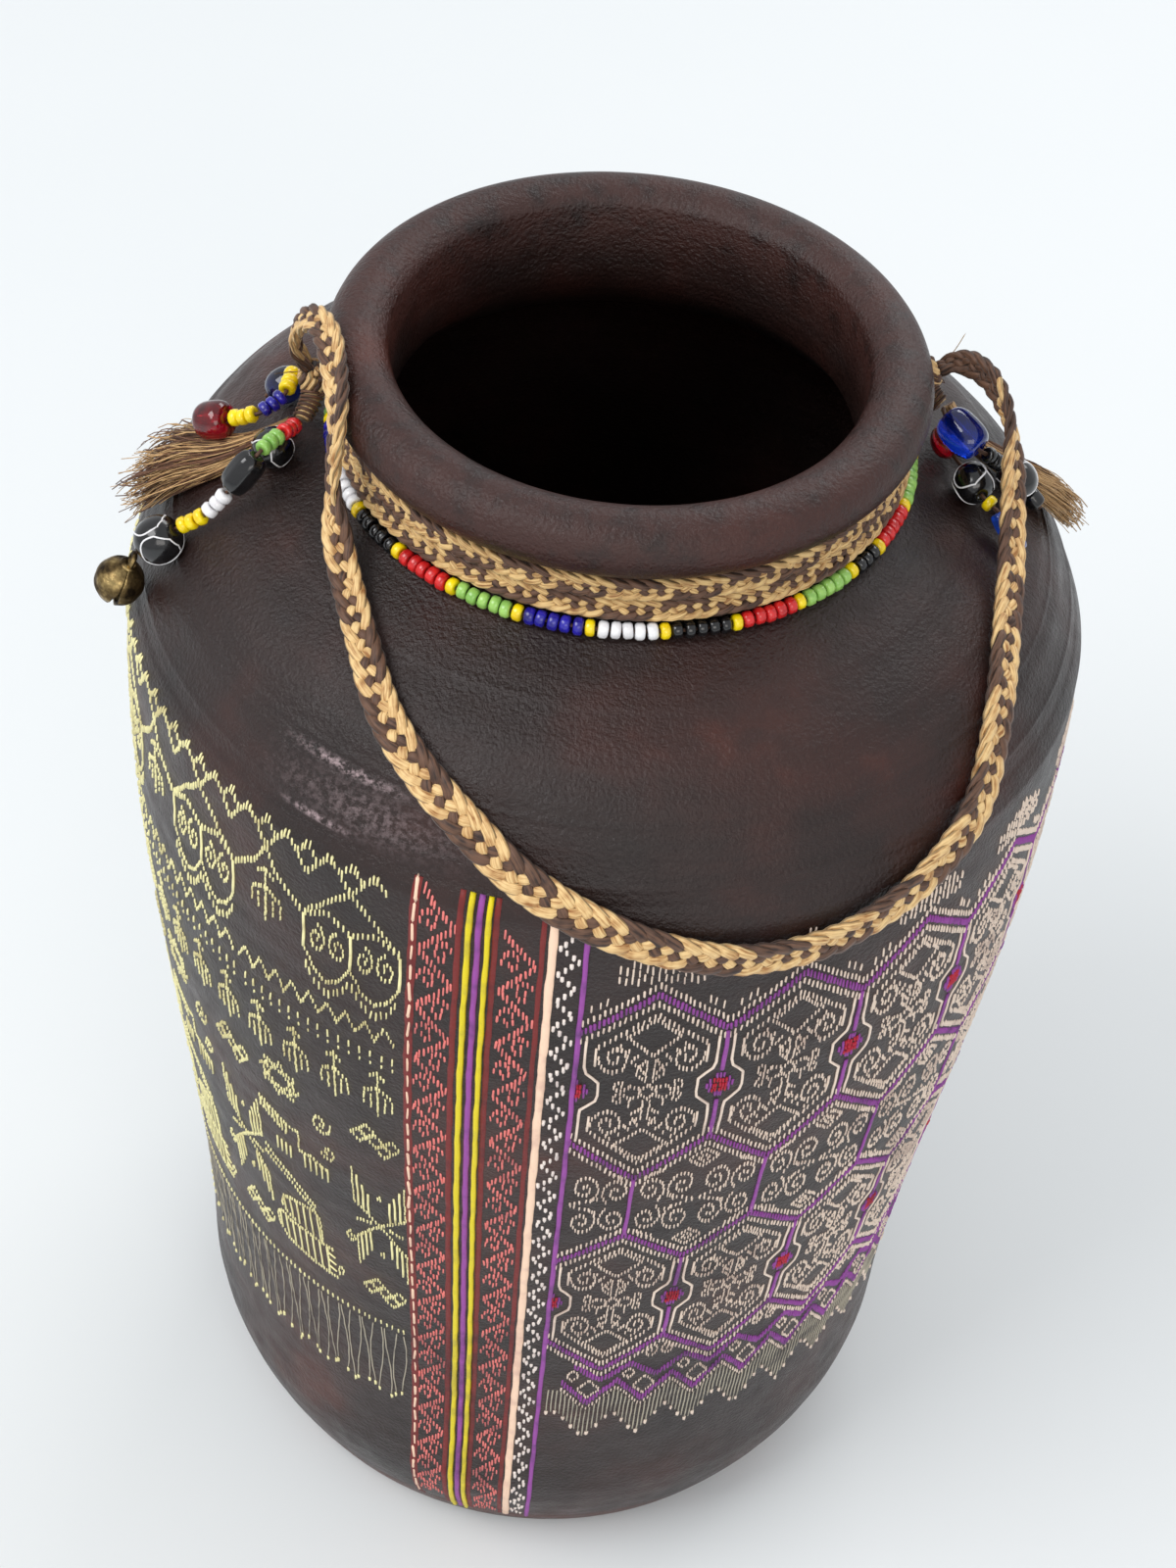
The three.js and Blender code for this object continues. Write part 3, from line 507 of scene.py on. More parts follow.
# %% [markdown]
# The jar's slip is a dark brown-black that was burnished before firing. It turns reddish brown in clouds,
# round the rim and along the foot, where the slip is thin, and it has a satin shine broken by fine grains
# and by drag lines from the wheel. A few pale scuffs lie on the shoulder. Colour, roughness and bump all
# come from the place on the jar, so nothing needs unwrapping.

# %% The burnished slip
slip, tree, shader = material("burnished slip", Roughness=0.4, Specular_IOR_Level=0.4, IOR=1.5)
place = node(tree, "TexCoord").outputs["Object"]
grit = use(tree, grain, Place=place, Fine=1500.0, Coarse=21.0)
speckle = use(tree, grain, Place=place, Fine=1000.0, Coarse=150.0)
height = node(tree, "SeparateXYZ", Vector=place).outputs["Z"]
clouds = ramp(tree, grit.outputs["Mottle"], (0.36, colour(31, 20, 18)), (0.52, colour(41, 25, 22)),
              (0.64, colour(56, 30, 25)), (0.76, colour(84, 40, 29)))
wheel = node(tree, "VectorMath", {"operation": "MULTIPLY"}, i0=place, i1=(6.0, 6.0, 420.0))
drag = node(tree, "TexNoise", Vector=wheel.outputs[0], Scale=1.0, Detail=4.0, Roughness=0.65)
streaked = mixed(tree, 0.35, clouds, ramp(tree, drag.outputs["Fac"], (0.35, grey(0.35)), (0.65, grey(1.0))),
                 "MULTIPLY")
FOOT_RUST, RIM_RUST = (0.0115, 0.0075), (0.336, 0.347)
rust, rim_rust = remap(tree, height, *FOOT_RUST), remap(tree, height, *RIM_RUST)
thin = maths(tree, "MULTIPLY_ADD", rim_rust, 0.3, rust)
ragged = maths(tree, "MULTIPLY", thin, remap(tree, speckle.outputs["Mottle"], 0.3, 0.55))
worn = mixed(tree, ragged, streaked, colour(84, 43, 35))
streaks = ((0.3012, -0.52, 0.17, 0.0013, 1.5), (0.2898, -0.55, 0.10, 0.0011, 1.5), (0.295, -0.44, 0.3, 0.007, 0.4))
for high, azimuth, reach, wide, share in streaks:
    streak = use(tree, rubs, Place=place, Height=high, Azimuth=azimuth, Reach=reach, Width=wide)
    strength = maths(tree, "MULTIPLY", streak.outputs["Mask"], share, clamp=True)
    worn = mixed(tree, strength, worn, colour(158, 138, 140))
satin = remap(tree, speckle.outputs["Mottle"], 0.3, 0.7, 0.3, 0.46)
feed(tree, shader, Base_Color=worn, Roughness=satin)
grainy = bump(tree, shader, speckle.outputs["Height"], 0.0005, 1.0)
bump(tree, shader, drag.outputs["Fac"], 0.00025, 0.45, first=grainy)
print("materials so far:", len(bpy.data.materials))

# %% [markdown]
# The patterns are slip paint laid on with a fine point. Each colour is the same recipe with its own tint:
# slightly uneven, a little chalky, with the surface broken by brush and grain.

# %% Slip paints
def slip_paint(name, tint, worn_tint, rough=0.55):
    """Paint whose tint wanders between two colours with the place."""
    made, tree, shader = material(name, Roughness=rough, Specular_IOR_Level=0.35)
    place = node(tree, "TexCoord").outputs["Object"]
    laid = use(tree, grain, Place=place, Fine=1300.0, Coarse=170.0)
    patch = use(tree, grain, Place=place, Fine=700.0, Coarse=30.0)
    share = maths(tree, "ADD", laid.outputs["Mottle"], patch.outputs["Mottle"])
    feed(tree, shader, Base_Color=ramp(tree, share, (0.78, colour(*worn_tint)), (1.0, colour(*tint))))
    feed(tree, shader, Roughness=remap(tree, laid.outputs["Height"], 0.3, 0.7, rough - 0.12, rough + 0.12))
    bump(tree, shader, laid.outputs["Height"], 0.0002, 0.5)
    return made


paint = {
    "cream": slip_paint("cream paint", (240, 220, 203), (206, 184, 170)),
    "straw": slip_paint("straw paint", (246, 238, 180), (214, 202, 148)),
    "pink": slip_paint("pink paint", (240, 132, 126), (178, 98, 98)),
    "oxblood": slip_paint("oxblood paint", (118, 36, 34), (88, 28, 30)),
    "yellow": slip_paint("yellow paint", (228, 208, 14), (196, 178, 40), 0.42),
    "violet": slip_paint("violet paint", (150, 72, 158), (112, 58, 122)),
    "peach": slip_paint("peach paint", (250, 214, 186), (226, 186, 164), 0.45),
    "white": slip_paint("white paint", (246, 234, 226), (214, 200, 196)),
    "ash": slip_paint("thin grey paint", (176, 168, 150), (128, 122, 112)),
    "vermilion": slip_paint("vermilion paint", (190, 40, 62), (150, 30, 50)),
}
print("paints:", ", ".join(paint))

# %% [markdown]
# Raffia, thread and fibre are plant fibres. Their texture follows the strand, so it reads the piece's own
# texture places: across the strand in the first, millimetres along it in the second.

# %% Fibres
def plant_fibre(name, light, dark, fineness=1.0, rough=0.55, sheen=0.15, relief=0.00022, edges=0.85):
    """Fibres of three tints that run along the strand, with painted shade at its sides, where the strands meet."""
    made, tree, shader = material(name, Roughness=rough, Sheen_Weight=sheen, Sheen_Roughness=0.4,
                                  Specular_IOR_Level=0.4)
    along = node(tree, "UVMap", {"uv_map": "UVMap"}).outputs["UV"]
    strand = use(tree, fibres, Along=along, Fineness=fineness, Streak=0.35)
    middle = tuple((np.array(light) * 0.6 + np.array(dark) * 0.4).astype(int))
    streaked = ramp(tree, strand.outputs["Shade"], (0.37, colour(*dark)), (0.46, colour(*middle)),
                    (0.57, colour(*light)))
    # painted shade: the strand's colour darkens towards its two sides, standing in for the shade between
    # neighbouring strands
    painted_edge_shade = ramp(tree, strand.outputs["Edge"], (0.1, grey(0.22)), (0.62, grey(1.0)))
    feed(tree, shader, Base_Color=mixed(tree, edges, streaked, painted_edge_shade, "MULTIPLY"))
    bump(tree, shader, strand.outputs["Height"], relief, 0.8)
    return made


raffia_tan = plant_fibre("pale raffia", (232, 198, 140), (150, 100, 52))
raffia_dark = plant_fibre("dyed raffia", (104, 74, 56), (40, 25, 20))
raffia_neck = plant_fibre("neck winding raffia", (224, 190, 130), (138, 92, 48))
brown_thread = plant_fibre("brown thread", (104, 70, 48), (52, 32, 22), 0.8)
tassel_tan = plant_fibre("tassel fibre", (226, 186, 130), (150, 104, 60), 0.5, 0.6)
tassel_brown = plant_fibre("brown tassel fibre", (128, 86, 58), (62, 38, 26), 0.5, 0.6)
print("materials so far:", len(bpy.data.materials))

# %% [markdown]
# The small beads are opaque glass, so they shine but let no light through. The larger ones are clear coloured
# glass, whose transmission is a plain number on the shader. The black beads are opaque too, and four of them
# carry white threads of glass. The bell is brass that has gone brown in its hollows.

# %% Glass and brass
def opaque_glass(name, tint, deep, rough=0.16):
    """Shiny glass between two tints, a little dull where dust lies."""
    made, tree, shader = material(name, Roughness=rough, Coat_Weight=0.35, Coat_Roughness=0.05, IOR=1.52)
    place = node(tree, "TexCoord").outputs["Object"]
    dusty = use(tree, grain, Place=place, Fine=900.0, Coarse=330.0)
    feed(tree, shader, Base_Color=ramp(tree, dusty.outputs["Mottle"], (0.35, colour(*deep)),
                                       (0.6, colour(*tint))))
    dull = remap(tree, dusty.outputs["Height"], 0.4, 0.75, rough, rough + 0.2)
    feed(tree, shader, Roughness=dull)
    bump(tree, shader, dusty.outputs["Height"], 0.0001, 0.35)
    return made


seed_glass = {
    "red": opaque_glass("red seed bead", (226, 40, 40), (176, 22, 26)),
    "green": opaque_glass("green seed bead", (164, 212, 106), (128, 182, 84)),
    "blue": opaque_glass("blue seed bead", (40, 34, 170), (22, 18, 110)),
    "white": opaque_glass("white seed bead", (250, 250, 252), (226, 224, 226)),
    "black": opaque_glass("black seed bead", (18, 18, 20), (6, 6, 8), 0.1),
    "yellow": opaque_glass("yellow seed bead", (255, 228, 12), (236, 198, 8)),
}


def clear_glass(name, tint, deep, weight, rough=0.06):
    """Glass that lets a share of the light through, its tint uneven as in a hand-made bead."""
    made, tree, shader = material(name, Roughness=rough, IOR=1.52, Transmission_Weight=weight, Coat_Weight=0.3)
    place = node(tree, "TexCoord").outputs["Object"]
    melt = use(tree, grain, Place=place, Fine=420.0, Coarse=130.0)
    feed(tree, shader, Base_Color=ramp(tree, melt.outputs["Mottle"], (0.35, colour(*deep)),
                                       (0.65, colour(*tint))))
    bump(tree, shader, melt.outputs["Height"], 0.00015, 0.25)
    return made


red_glass = clear_glass("deep red glass", (190, 14, 34), (96, 4, 18), 0.72)
blue_glass = clear_glass("cobalt glass", (16, 66, 214), (6, 24, 110), 0.72)
dark_blue_glass = clear_glass("ink blue glass", (30, 42, 110), (10, 14, 44), 0.6)
azure_glass = clear_glass("azure glass", (40, 92, 214), (18, 40, 150), 0.5)

brass, tree, shader = material("aged brass", Roughness=0.42, Metallic=1.0)
place = node(tree, "TexCoord").outputs["Object"]
tarnish = use(tree, grain, Place=place, Fine=700.0, Coarse=260.0)
feed(tree, shader, Base_Color=ramp(tree, tarnish.outputs["Mottle"], (0.36, colour(46, 37, 27)),
                                   (0.5, colour(104, 86, 56)), (0.66, colour(176, 152, 102))))
feed(tree, shader, Roughness=remap(tree, tarnish.outputs["Mottle"], 0.35, 0.65, 0.62, 0.3))
bump(tree, shader, tarnish.outputs["Height"], 0.0003, 0.6)
print("materials in all:", len(bpy.data.materials))

# %% [markdown]
# The strap and the winding round the neck are the same flat braid of seven raffia strands, four pale and
# three dyed brown. Each strand swings from edge to edge and passes over and under the ones that swing the
# other way: over two, under one, over one, under two. A curve with a bevel would only give a smooth cord, so
# each strand is worked out as its own flat ribbon. How far across it lies is a cosine of the distance along,
# and its lift eases from one crossing's level to the next one's.

# %% A seven-strand braid
STRANDS, REPEAT, STRAND_SIDES = 7, 30.0, 8
STRAND_SHARE, TEXTURE_STEP = 0.285, 31.7
LEVELS = np.array([0, 1, 1, -1, 1, -1, -1, 0.0])


def strand_swing(phase):
    """Across, from -1 to 1: minus the cosine of a full turn per repeat. Lift, from -1 to 1: the crossings lie
    at fourteenths of a turn, and between two of them the level changes by half a cosine wave."""
    k = (14 * phase) % 7
    before = np.minimum(k.astype(int), 6)
    ease = (1 - np.cos(np.pi * (k - before))) / 2
    return -np.cos(2 * np.pi * phase), LEVELS[before] * (1 - ease) + LEVELS[before + 1] * ease


def braid(path, normals, width, thick, repeat=REPEAT, shift=0.0, step=0.7, dyed=(4, 5, 6), brown_after=1e9):
    """Seven ribbons along a path whose flat side faces normals. width and thick may change along it, and
    after the distance brown_after every strand is brown. Returns the joined shell and each face's material
    number."""
    d = distances(path)
    s = np.linspace(0, d[-1], int(d[-1] / step) + 1)
    centre, normal = at(path, s), unit(read_off(d, normals, s))
    heading = headings(centre)
    normal = unit(normal - (normal * heading).sum(1, keepdims=True) * heading)
    side = np.cross(normal, heading)
    wide = np.interp(s, d, np.broadcast_to(width, d.shape))[:, None]
    deep = np.interp(s, d, np.broadcast_to(thick, d.shape))[:, None]
    body = wide * STRAND_SHARE
    angle = 2 * np.pi * np.arange(STRAND_SIDES) / STRAND_SIDES
    shells, shades = [], []
    for strand in range(STRANDS):
        across, lift = (v[:, None] for v in strand_swing(s / repeat + shift + strand / STRANDS))
        ripple = 0.06 * np.sin(s / 3.1 + strand * 2.1)[:, None]
        middle = centre + side * across * (wide - body) / 2 + normal * (lift * deep * 0.25 + ripple)
        strand_way = headings(middle)
        tall = deep * (0.5 + 0.06 * np.sin(s / 2.3 + strand)[:, None]) / 2
        tilt = unit(np.cross(strand_way, np.cross(normal, strand_way)))
        over = np.cross(tilt, strand_way)
        ring = (middle[:, None] + over[:, None] * (body / 2 * np.cos(angle) * 1.06)[..., None]
                + tilt[:, None] * (tall * np.sin(angle))[..., None])
        shift_along = strand * TEXTURE_STEP
        shells.append(skin(ring, middle[0], middle[-1], lengths=s + shift_along))
        brown = (shells[-1][2][0][:, 0, 1] - shift_along > brown_after + strand * 1.7) | (strand in dyed)
        end_fans = np.full(2 * STRAND_SIDES, int(strand in dyed or brown_after < d[-1]))
        shades.append(np.append(brown.astype(int), end_fans))
    return joined(shells), np.concatenate(shades)


def jar_normals(path):
    """For points near the jar: how far off its outline each one is, and which way the outline faces there."""
    neck = np.stack([np.full(8, NECK), np.linspace(NECK_Z + 1, NECK_Z + NECK_TALL - 1, 8)], -1)
    outline = np.vstack([outer_face, neck, rim_curve(-90, 150, 60)])
    flat = np.stack([np.hypot(path[:, 0], path[:, 1]), path[:, 2]], -1)
    gaps = np.linalg.norm(flat[:, None] - outline[None], axis=2)
    nearest = outline[gaps.argmin(1)]
    out = unit(flat - nearest)
    around = path[:, :2] / flat[:, :1]
    return gaps.min(1), np.column_stack([around * out[:, :1], out[:, 1]])


print("a strand changes edge every", REPEAT / 2, "mm")

# %% [markdown]
# The strap is the first thing placed, because it is a free cord of a real length. Its centre line is the one
# that the solid model follows: out of the left knot, over the rim, round the front of the shoulder, and up in
# an arch to the right knot. The braid is flat, so where the strap lies on the jar its middle sinks closer to
# the clay than a round cord's would.

# %% The carrying strap
LEFT_AZIMUTH, RIGHT_AZIMUTH = -90.8, 104.9
LOWER_TURN, UPPER_TURN = 330.4, 336.0
KNOT_START, KNOT_WIDE, KNOT_LONG = 65.7133, 8.4, 5.2
STRAP_GAP, STRAP_THICK = 0.7, 2.7


def knot_axis(azimuth, height, rise):
    """A knot's two ends: it starts just off the winding and rises outwards by rise degrees."""
    rise, turn = math.radians(rise), math.radians(azimuth)
    start = KNOT_START + KNOT_WIDE * 0.33 * math.sin(rise)
    return np.array([[*round_axis(start, turn), height],
                     [*round_axis(start + KNOT_LONG * math.cos(rise), turn),
                      height + KNOT_LONG * math.sin(rise)]])


def leaving(ends):
    """The strap's first two places beyond a knot."""
    way = unit(ends[1] - ends[0])
    return [ends[1] + way * STRAP_GAP, ends[1] + way * (STRAP_GAP + 3.6)]


def eased(values):
    """Values smoothed by a bell-shaped mean over eighty-one neighbours."""
    bell = np.exp(-np.linspace(-2, 2, 81) ** 2)
    return np.convolve(np.pad(values, 40, mode="edge"), bell / bell.sum(), "valid")


left_axis = knot_axis(LEFT_AZIMUTH, LOWER_TURN, 60)
right_axis = knot_axis(RIGHT_AZIMUTH, UPPER_TURN, 25)


strap_places = [
    (-73.8, 0.9, 341.2), (-73.6, 0.2, 345.6), (-71.9, -1.8, 350.2), (-69, -5.6, 354), (-65.8, -12.2, 356),
    (-63.9, -19.8, 355.4), (-62.2, -28.8, 352.9), (-61.4, -35.2, 347.4), (-60.6, -39, 340),
    (-59.6, -42.2, 333.4), (-58.3, -46.6, 327.8), (-55.8, -54, 324), (-50.8, -68, 320.4), (-43.8, -84.2, 314),
    (-34.8, -95, 308.3), (-23.4, -103.8, 301.4), (-12.2, -110, 294.7), (2.8, -114.2, 287.9),
    (19.7, -114.2, 281), (36.6, -110.2, 275.6), (53.3, -103.2, 274.9), (65.4, -95.7, 277.7), (76.3, -86.8, 284),
    (84.9, -74, 291.4), (88.3, -58, 302.9), (89.1, -39.6, 312.2), (89.1, -28.8, 315.7), (88.6, -19.4, 319.2),
    (88, -12.6, 325.6), (87.2, -7.2, 332.2), (85.4, 1, 339.2), (81.8, 9.6, 342.3), (78.6, 15, 342.2),
    (75.4, 18.6, 341),
]
strap_line = spline(leaving(left_axis) + strap_places + leaving(right_axis)[::-1])
off_jar, facing = jar_normals(strap_line)
run = distances(strap_line)
near_ends = np.minimum(run, run[-1] - run)
fades_in = np.clip((near_ends - 14) / 12, 0, 1)
sink = np.clip(off_jar - STRAP_THICK / 2 - 0.25, 0, 1.6) * (off_jar < 4.6) * fades_in
facing = unit(np.stack([eased(column) for column in facing.T], -1))
strap_line = strap_line - facing * eased(sink)[:, None]
run = distances(strap_line)
measured_at = [0, 6, 20, 95, 150, 300, 345, 392, run[-1] - 3, run[-1]]
strap_width = np.interp(run, measured_at, [4.4, 6.2, 6.8, 7.2, 9.2, 9.2, 7.4, 6.4, 5.2, 4.2])
shell, shades = braid(strap_line, facing, strap_width, STRAP_THICK, shift=0.31, brown_after=run[-1] - 24)
strap = put("carrying strap", shell, [raffia_tan, raffia_dark], "strap", "carry_strap", shades=shades)
print("strap length, mm:", round(float(run[-1]), 1))

# %% [markdown]
# The jar itself is one outline turned round the axis, with a mark for every change of height. The true
# outline alone would look machine made, so each point is moved off it a little by the throwing marks: fine
# ribs, a few raised rings on the shoulder and a slow sway. The mesh closes at the foot and inside on the floor.

# %% The jar's surface
jar_turns = np.arange(0, 360, 1.25)
outer_z = np.concatenate([np.linspace(1.2, RIDGE_Z, 132)[:-1], shoulder_curve(np.linspace(0, 1, 118))[:-1, 1]])
outer_wall = on_jar(jar_turns[None, :], outer_z[:, None])


def turned(profile, sway=0.0):
    """Rings from (radius, height) pairs; sway lets each ring wander by that many millimetres."""
    turn = np.radians(jar_turns)[None, :]
    r, z = np.asarray(profile, float)[:, :1], np.asarray(profile, float)[:, 1:]
    r = r + sway * (0.6 * np.sin(2 * turn + z / 30) + 0.4 * np.sin(3 * turn + 2))
    return np.stack([*round_axis(r, turn), np.broadcast_to(z, r.shape)], -1)


inner_shoulder = shoulder_curve(np.linspace(1, 0, 22))
heading = headings(inner_shoulder)
inner_shoulder = inner_shoulder + np.stack([heading[:, 1], -heading[:, 0]], -1) * WALL
inner_z = np.linspace(RIDGE_Z - 6, 40, 26)
inner_wall = np.stack([wall_radius(inner_z) - WALL, inner_z], -1)
inside = np.vstack([
    [(NECK - WALL, NECK_Z + 8), (NECK - WALL, NECK_Z + 3)], inner_shoulder[1:-1], inner_wall,
    [(FOOT - WALL + 5, 28), (FOOT - WALL, FLOOR + WALL), (FOOT - WALL - 5, FLOOR + 2), (FOOT - 2 * WALL, FLOOR),
     (40, FLOOR), (12, FLOOR)]])
under_foot = [(14, 0), (50, 0), (FOOT - 1.6, 0), (FOOT - 1.0, 0.15)]
neck_wall = [(NECK + 0.5, NECK_Z), (NECK + 0.1, NECK_Z + 2.2), (NECK, NECK_Z + 4.3), (NECK, NECK_Z + 8)]
rings = np.concatenate([turned(under_foot), outer_wall, turned(neck_wall, 0.1),
                        turned(rim_curve(-82, 152, 22), 0.22), turned(inside, 0.2)])
put("jar", skin(rings, (0, 0, 0), (0, 0, FLOOR)), slip, "jar", "vase_body")

# %% [markdown]
# The painted patterns copy woven cloth: every outline is stitched out of short upright dashes, one beside
# the other, as a weaver's threads would show. The paint stands a third of a millimetre proud, which catches
# the light, so it is real geometry. A dash is a small mound with a six-sided foot and a ridge, twelve
# triangles, and it is laid on the wall by azimuth and height. Outlines are given in degrees and millimetres.

# %% Dashes
MM_PER_DEGREE = 1.9
laid = {}


def dashes(shade, places, tall=2.1, wide=0.75, proud=0.36, wander=0.12):
    """Remembers upright dashes at places (degrees, millimetres) to be laid on the jar in one shade."""
    places = np.atleast_2d(np.asarray(places, float))
    n = len(places)
    sizes = np.stack([np.broadcast_to(tall, n) * random.uniform(0.86, 1.12, n),
                      np.broadcast_to(wide, n) * random.uniform(0.85, 1.2, n),
                      np.full(n, proud) * random.uniform(0.8, 1.2, n), random.normal(0, 0.05, n)], -1)
    nudged = places + random.normal(0, wander, (n, 2)) * (1 / MM_PER_DEGREE * 0.7, 1.0)
    laid.setdefault(shade, []).append(np.hstack([nudged, sizes]))


def dash_row(shade, starts, z, tall, wide, proud=0.36, wander=0.12):
    """A level row of dashes at the given azimuths."""
    dashes(shade, np.stack([starts, np.full(len(starts), z)], -1), tall, wide, proud, wander)


def stitched(outline, across=1.25, up=2.05):
    """Places along an outline where dashes go: evenly by sqrt((mm across / across)^2 + (mm up / up)^2)."""
    outline = np.asarray(outline, float)
    steps = np.diff(outline, axis=0) * (MM_PER_DEGREE, 1.0) / (across, up)
    count = np.concatenate([[0], np.cumsum(np.hypot(steps[:, 0], steps[:, 1]))])
    n = max(int(round(count[-1])), 1)
    return read_off(count, outline, (np.arange(n) + 0.5) * count[-1] / n)


def trace(shade, outlines, tall=2.1, wide=0.75, across=1.25, up=2.05, **more):
    """Dashes along each of the outlines, so many millimetres apart across and up."""
    for outline in outlines:
        dashes(shade, stitched(outline, across, up), tall, wide, **more)


def mounds(rows):
    """Dashes as one closed shell: each has a six-cornered foot, sunk a little, and a ridge of two points."""
    azimuth, z, tall, wide, proud, lean = rows.T
    turn = np.radians(azimuth)
    here = on_jar(azimuth, z)
    up = unit(on_jar(azimuth, z + 0.5) - on_jar(azimuth, z - 0.5))
    side = np.stack([np.cos(turn), np.sin(turn), np.zeros_like(turn)], -1)
    out = np.cross(side, up)
    long_way, short_way = up + side * lean[:, None], side - up * lean[:, None]
    foot = np.array([(0.63, 0.0), (0.44, 0.42), (-0.44, 0.42), (-0.63, 0.0), (-0.44, -0.42), (0.44, -0.42)])
    corners = [here + long_way * (a * tall)[:, None] + short_way * (b * 1.2 * wide)[:, None] - out * 0.22
               for a, b in foot]
    crest = [here + long_way * (a * tall)[:, None] + out * proud[:, None] for a in (0.37, -0.37)]
    points = np.stack(corners + crest, 1).reshape(-1, 3)
    first = (np.arange(len(rows)) * 8)[:, None, None]
    sides = np.array([(0, 6, 1), (2, 7, 3), (3, 7, 4), (5, 6, 0)])
    longs = np.array([(1, 6, 7, 2), (4, 7, 6, 5)])
    base = np.array([(0, 1, 2, 3), (0, 3, 4, 5)])
    faces = [(first + part[None]).reshape(-1, part.shape[1]) for part in (sides, longs, base)]
    return points, faces, [np.zeros((len(f), f.shape[1], 2)) + 0.5 for f in faces]


def count_dashes():
    """How many dashes are remembered so far."""
    return sum(len(rows) for kept in laid.values() for rows in kept)


print("dash recipe ready")

# %% [markdown]
# The figures are outlines in degrees and millimetres. Most are drawn about a middle line and then shifted to
# where they belong, some mirrored as well. Stripes and the finest strokes are continuous painted lines: a
# domed ribbon whose middle drifts and whose width swells a little, as a hand's does.

# %% Outlines and painted lines
lines_laid = {}


def curl(centre, width, height, turns=1.45, start=90.0, way=1, points=34):
    """A spiral outline: the reach grows evenly from a tenth to all of its half width while it turns."""
    share = np.linspace(0.1, 1, points)
    turn = np.radians(start) - way * 2 * np.pi * turns * (1 - np.linspace(0, 1, points))
    return np.stack([centre[0] + width / 2 * share * np.cos(turn),
                     centre[1] + height / 2 * share * np.sin(turn)], -1)


def closed(*corners):
    """An outline that comes back to its first corner."""
    return list(corners) + [corners[0]]


def diamond(z, wide, tall):
    """A diamond about the middle line at height z, by its half width and half height."""
    return closed((0, z + tall), (wide, z), (0, z - tall), (-wide, z))


def moved(outlines, across=0.0, up=0.0, mirror=False):
    """Outlines shifted, and turned left to right about zero first if mirror is set."""
    flip = -1 if mirror else 1
    return [np.asarray(o, float) * (flip, 1) + (across, up) for o in outlines]


def both_ways(outlines):
    """Outlines and their mirror images."""
    return moved(outlines) + moved(outlines, mirror=True)


def painted_line(outline, width, proud=0.34, step=2.2):
    """A domed ribbon of five corners carried along the outline on the jar."""
    outline = np.asarray(outline, float)
    count = distances(outline * (MM_PER_DEGREE, 1.0))
    where = np.linspace(0, count[-1], max(int(count[-1] / step), 2) + 1)
    azimuth, z = read_off(count, outline, where).T
    drift = 0.05 * np.sin(where / 3.7 + outline[0, 0]) + 0.04 * np.sin(where / 1.9 + outline[0, 1])
    middle = on_jar(azimuth + drift / MM_PER_DEGREE, z)
    out = unit(on_jar(azimuth, z, 1.0) - on_jar(azimuth, z))
    swell = 1 + 0.07 * np.sin(where / 2.6 + outline[0, 1]) + 0.05 * np.sin(where / 1.1)
    half = width / 2 * swell
    dome = ((1, -0.2), (0.72, 0.72 * proud), (0, proud), (-0.72, 0.72 * proud), (-1, -0.2))
    return carried(middle, out, np.stack([np.stack([a * half, np.full(len(half), h)], -1) for a, h in dome], 1))


def line(shade, *outlines, width=0.8, proud=0.34):
    """Remembers continuous painted lines of one shade."""
    lines_laid.setdefault(shade, []).extend(painted_line(o, width, proud) for o in outlines)


print("outlines and painted lines ready")

# %% [markdown]
# A band of upright stripes runs from the ridge to the foot at the front, and once more at the back. It has
# two columns of pink zigzag and curls, yellow, violet and dark red lines between them, a broad peach line
# and a zigzag of white dots. Each stripe is one line or one run of dashes down the whole height.

# %% The striped bands
TOP, BOTTOM = 287.5, 9.0


def pink_column(middle, half, first, period=18.4):
    """A zigzag from edge to edge, with a curl in each pocket that it leaves."""
    turns = np.arange(first, BOTTOM + 2, -period / 2)
    edges = np.where(np.arange(len(turns)) % 2, 1.0, -1.0)
    zigzag = np.stack([middle + edges * half, turns], -1)
    curls = [curl((middle - e * half * 0.4, z + 0.2), half * 1.2, 8.0, 1.2, 200 if e > 0 else 20, way=int(e))
             for e, z in zip(edges[1:], turns[1:])]
    trace("pink", [zigzag], tall=2.7, wide=0.78, across=0.98, up=3.0)
    trace("pink", curls, tall=2.1, wide=0.74, across=1.05, up=2.5)


def striped_band(at_azimuth):
    """The whole band with its right edge near at_azimuth: each line runs from the ridge to the foot."""
    down = lambda off: np.array([(at_azimuth + off, TOP), (at_azimuth + off, BOTTOM)])
    line("oxblood", down(-17.7), width=2.5, proud=0.12)
    starts = np.arange(TOP - 2.6, BOTTOM + 2, -6.4)
    dashes("peach", np.stack([np.full(len(starts), at_azimuth - 17.7), starts], -1), 5.4, 1.15, 0.5,
           wander=0.08)
    pink_column(at_azimuth - 14.95, 2.05, TOP - 1.5)
    line("oxblood", down(-12.45), width=1.7, proud=0.14)
    line("yellow", down(-11.35), width=1.55, proud=0.85)
    line("violet", down(-10.25), width=1.6, proud=0.5)
    line("yellow", down(-9.2), width=1.4, proud=0.8)
    line("oxblood", down(-8.35), width=1.6, proud=0.14)
    pink_column(at_azimuth - 5.6, 1.95, TOP - 8.0)
    line("oxblood", down(-3.15), width=1.4, proud=0.14)
    line("peach", down(-2.05), width=2.1, proud=0.42)
    turns = np.arange(TOP - 1, BOTTOM + 1, -4.35)
    zigzag = np.stack([at_azimuth - 0.3 + np.where(np.arange(len(turns)) % 2, 1.2, -1.0), turns], -1)
    trace("white", [zigzag], tall=1.8, wide=1.1, across=1.5, up=2.9, proud=0.5, wander=0.08)
    line("violet", down(1.65), width=1.35, proud=0.5)


striped_band(0.0)
striped_band(172.05)
print("dashes in the bands:", count_dashes())

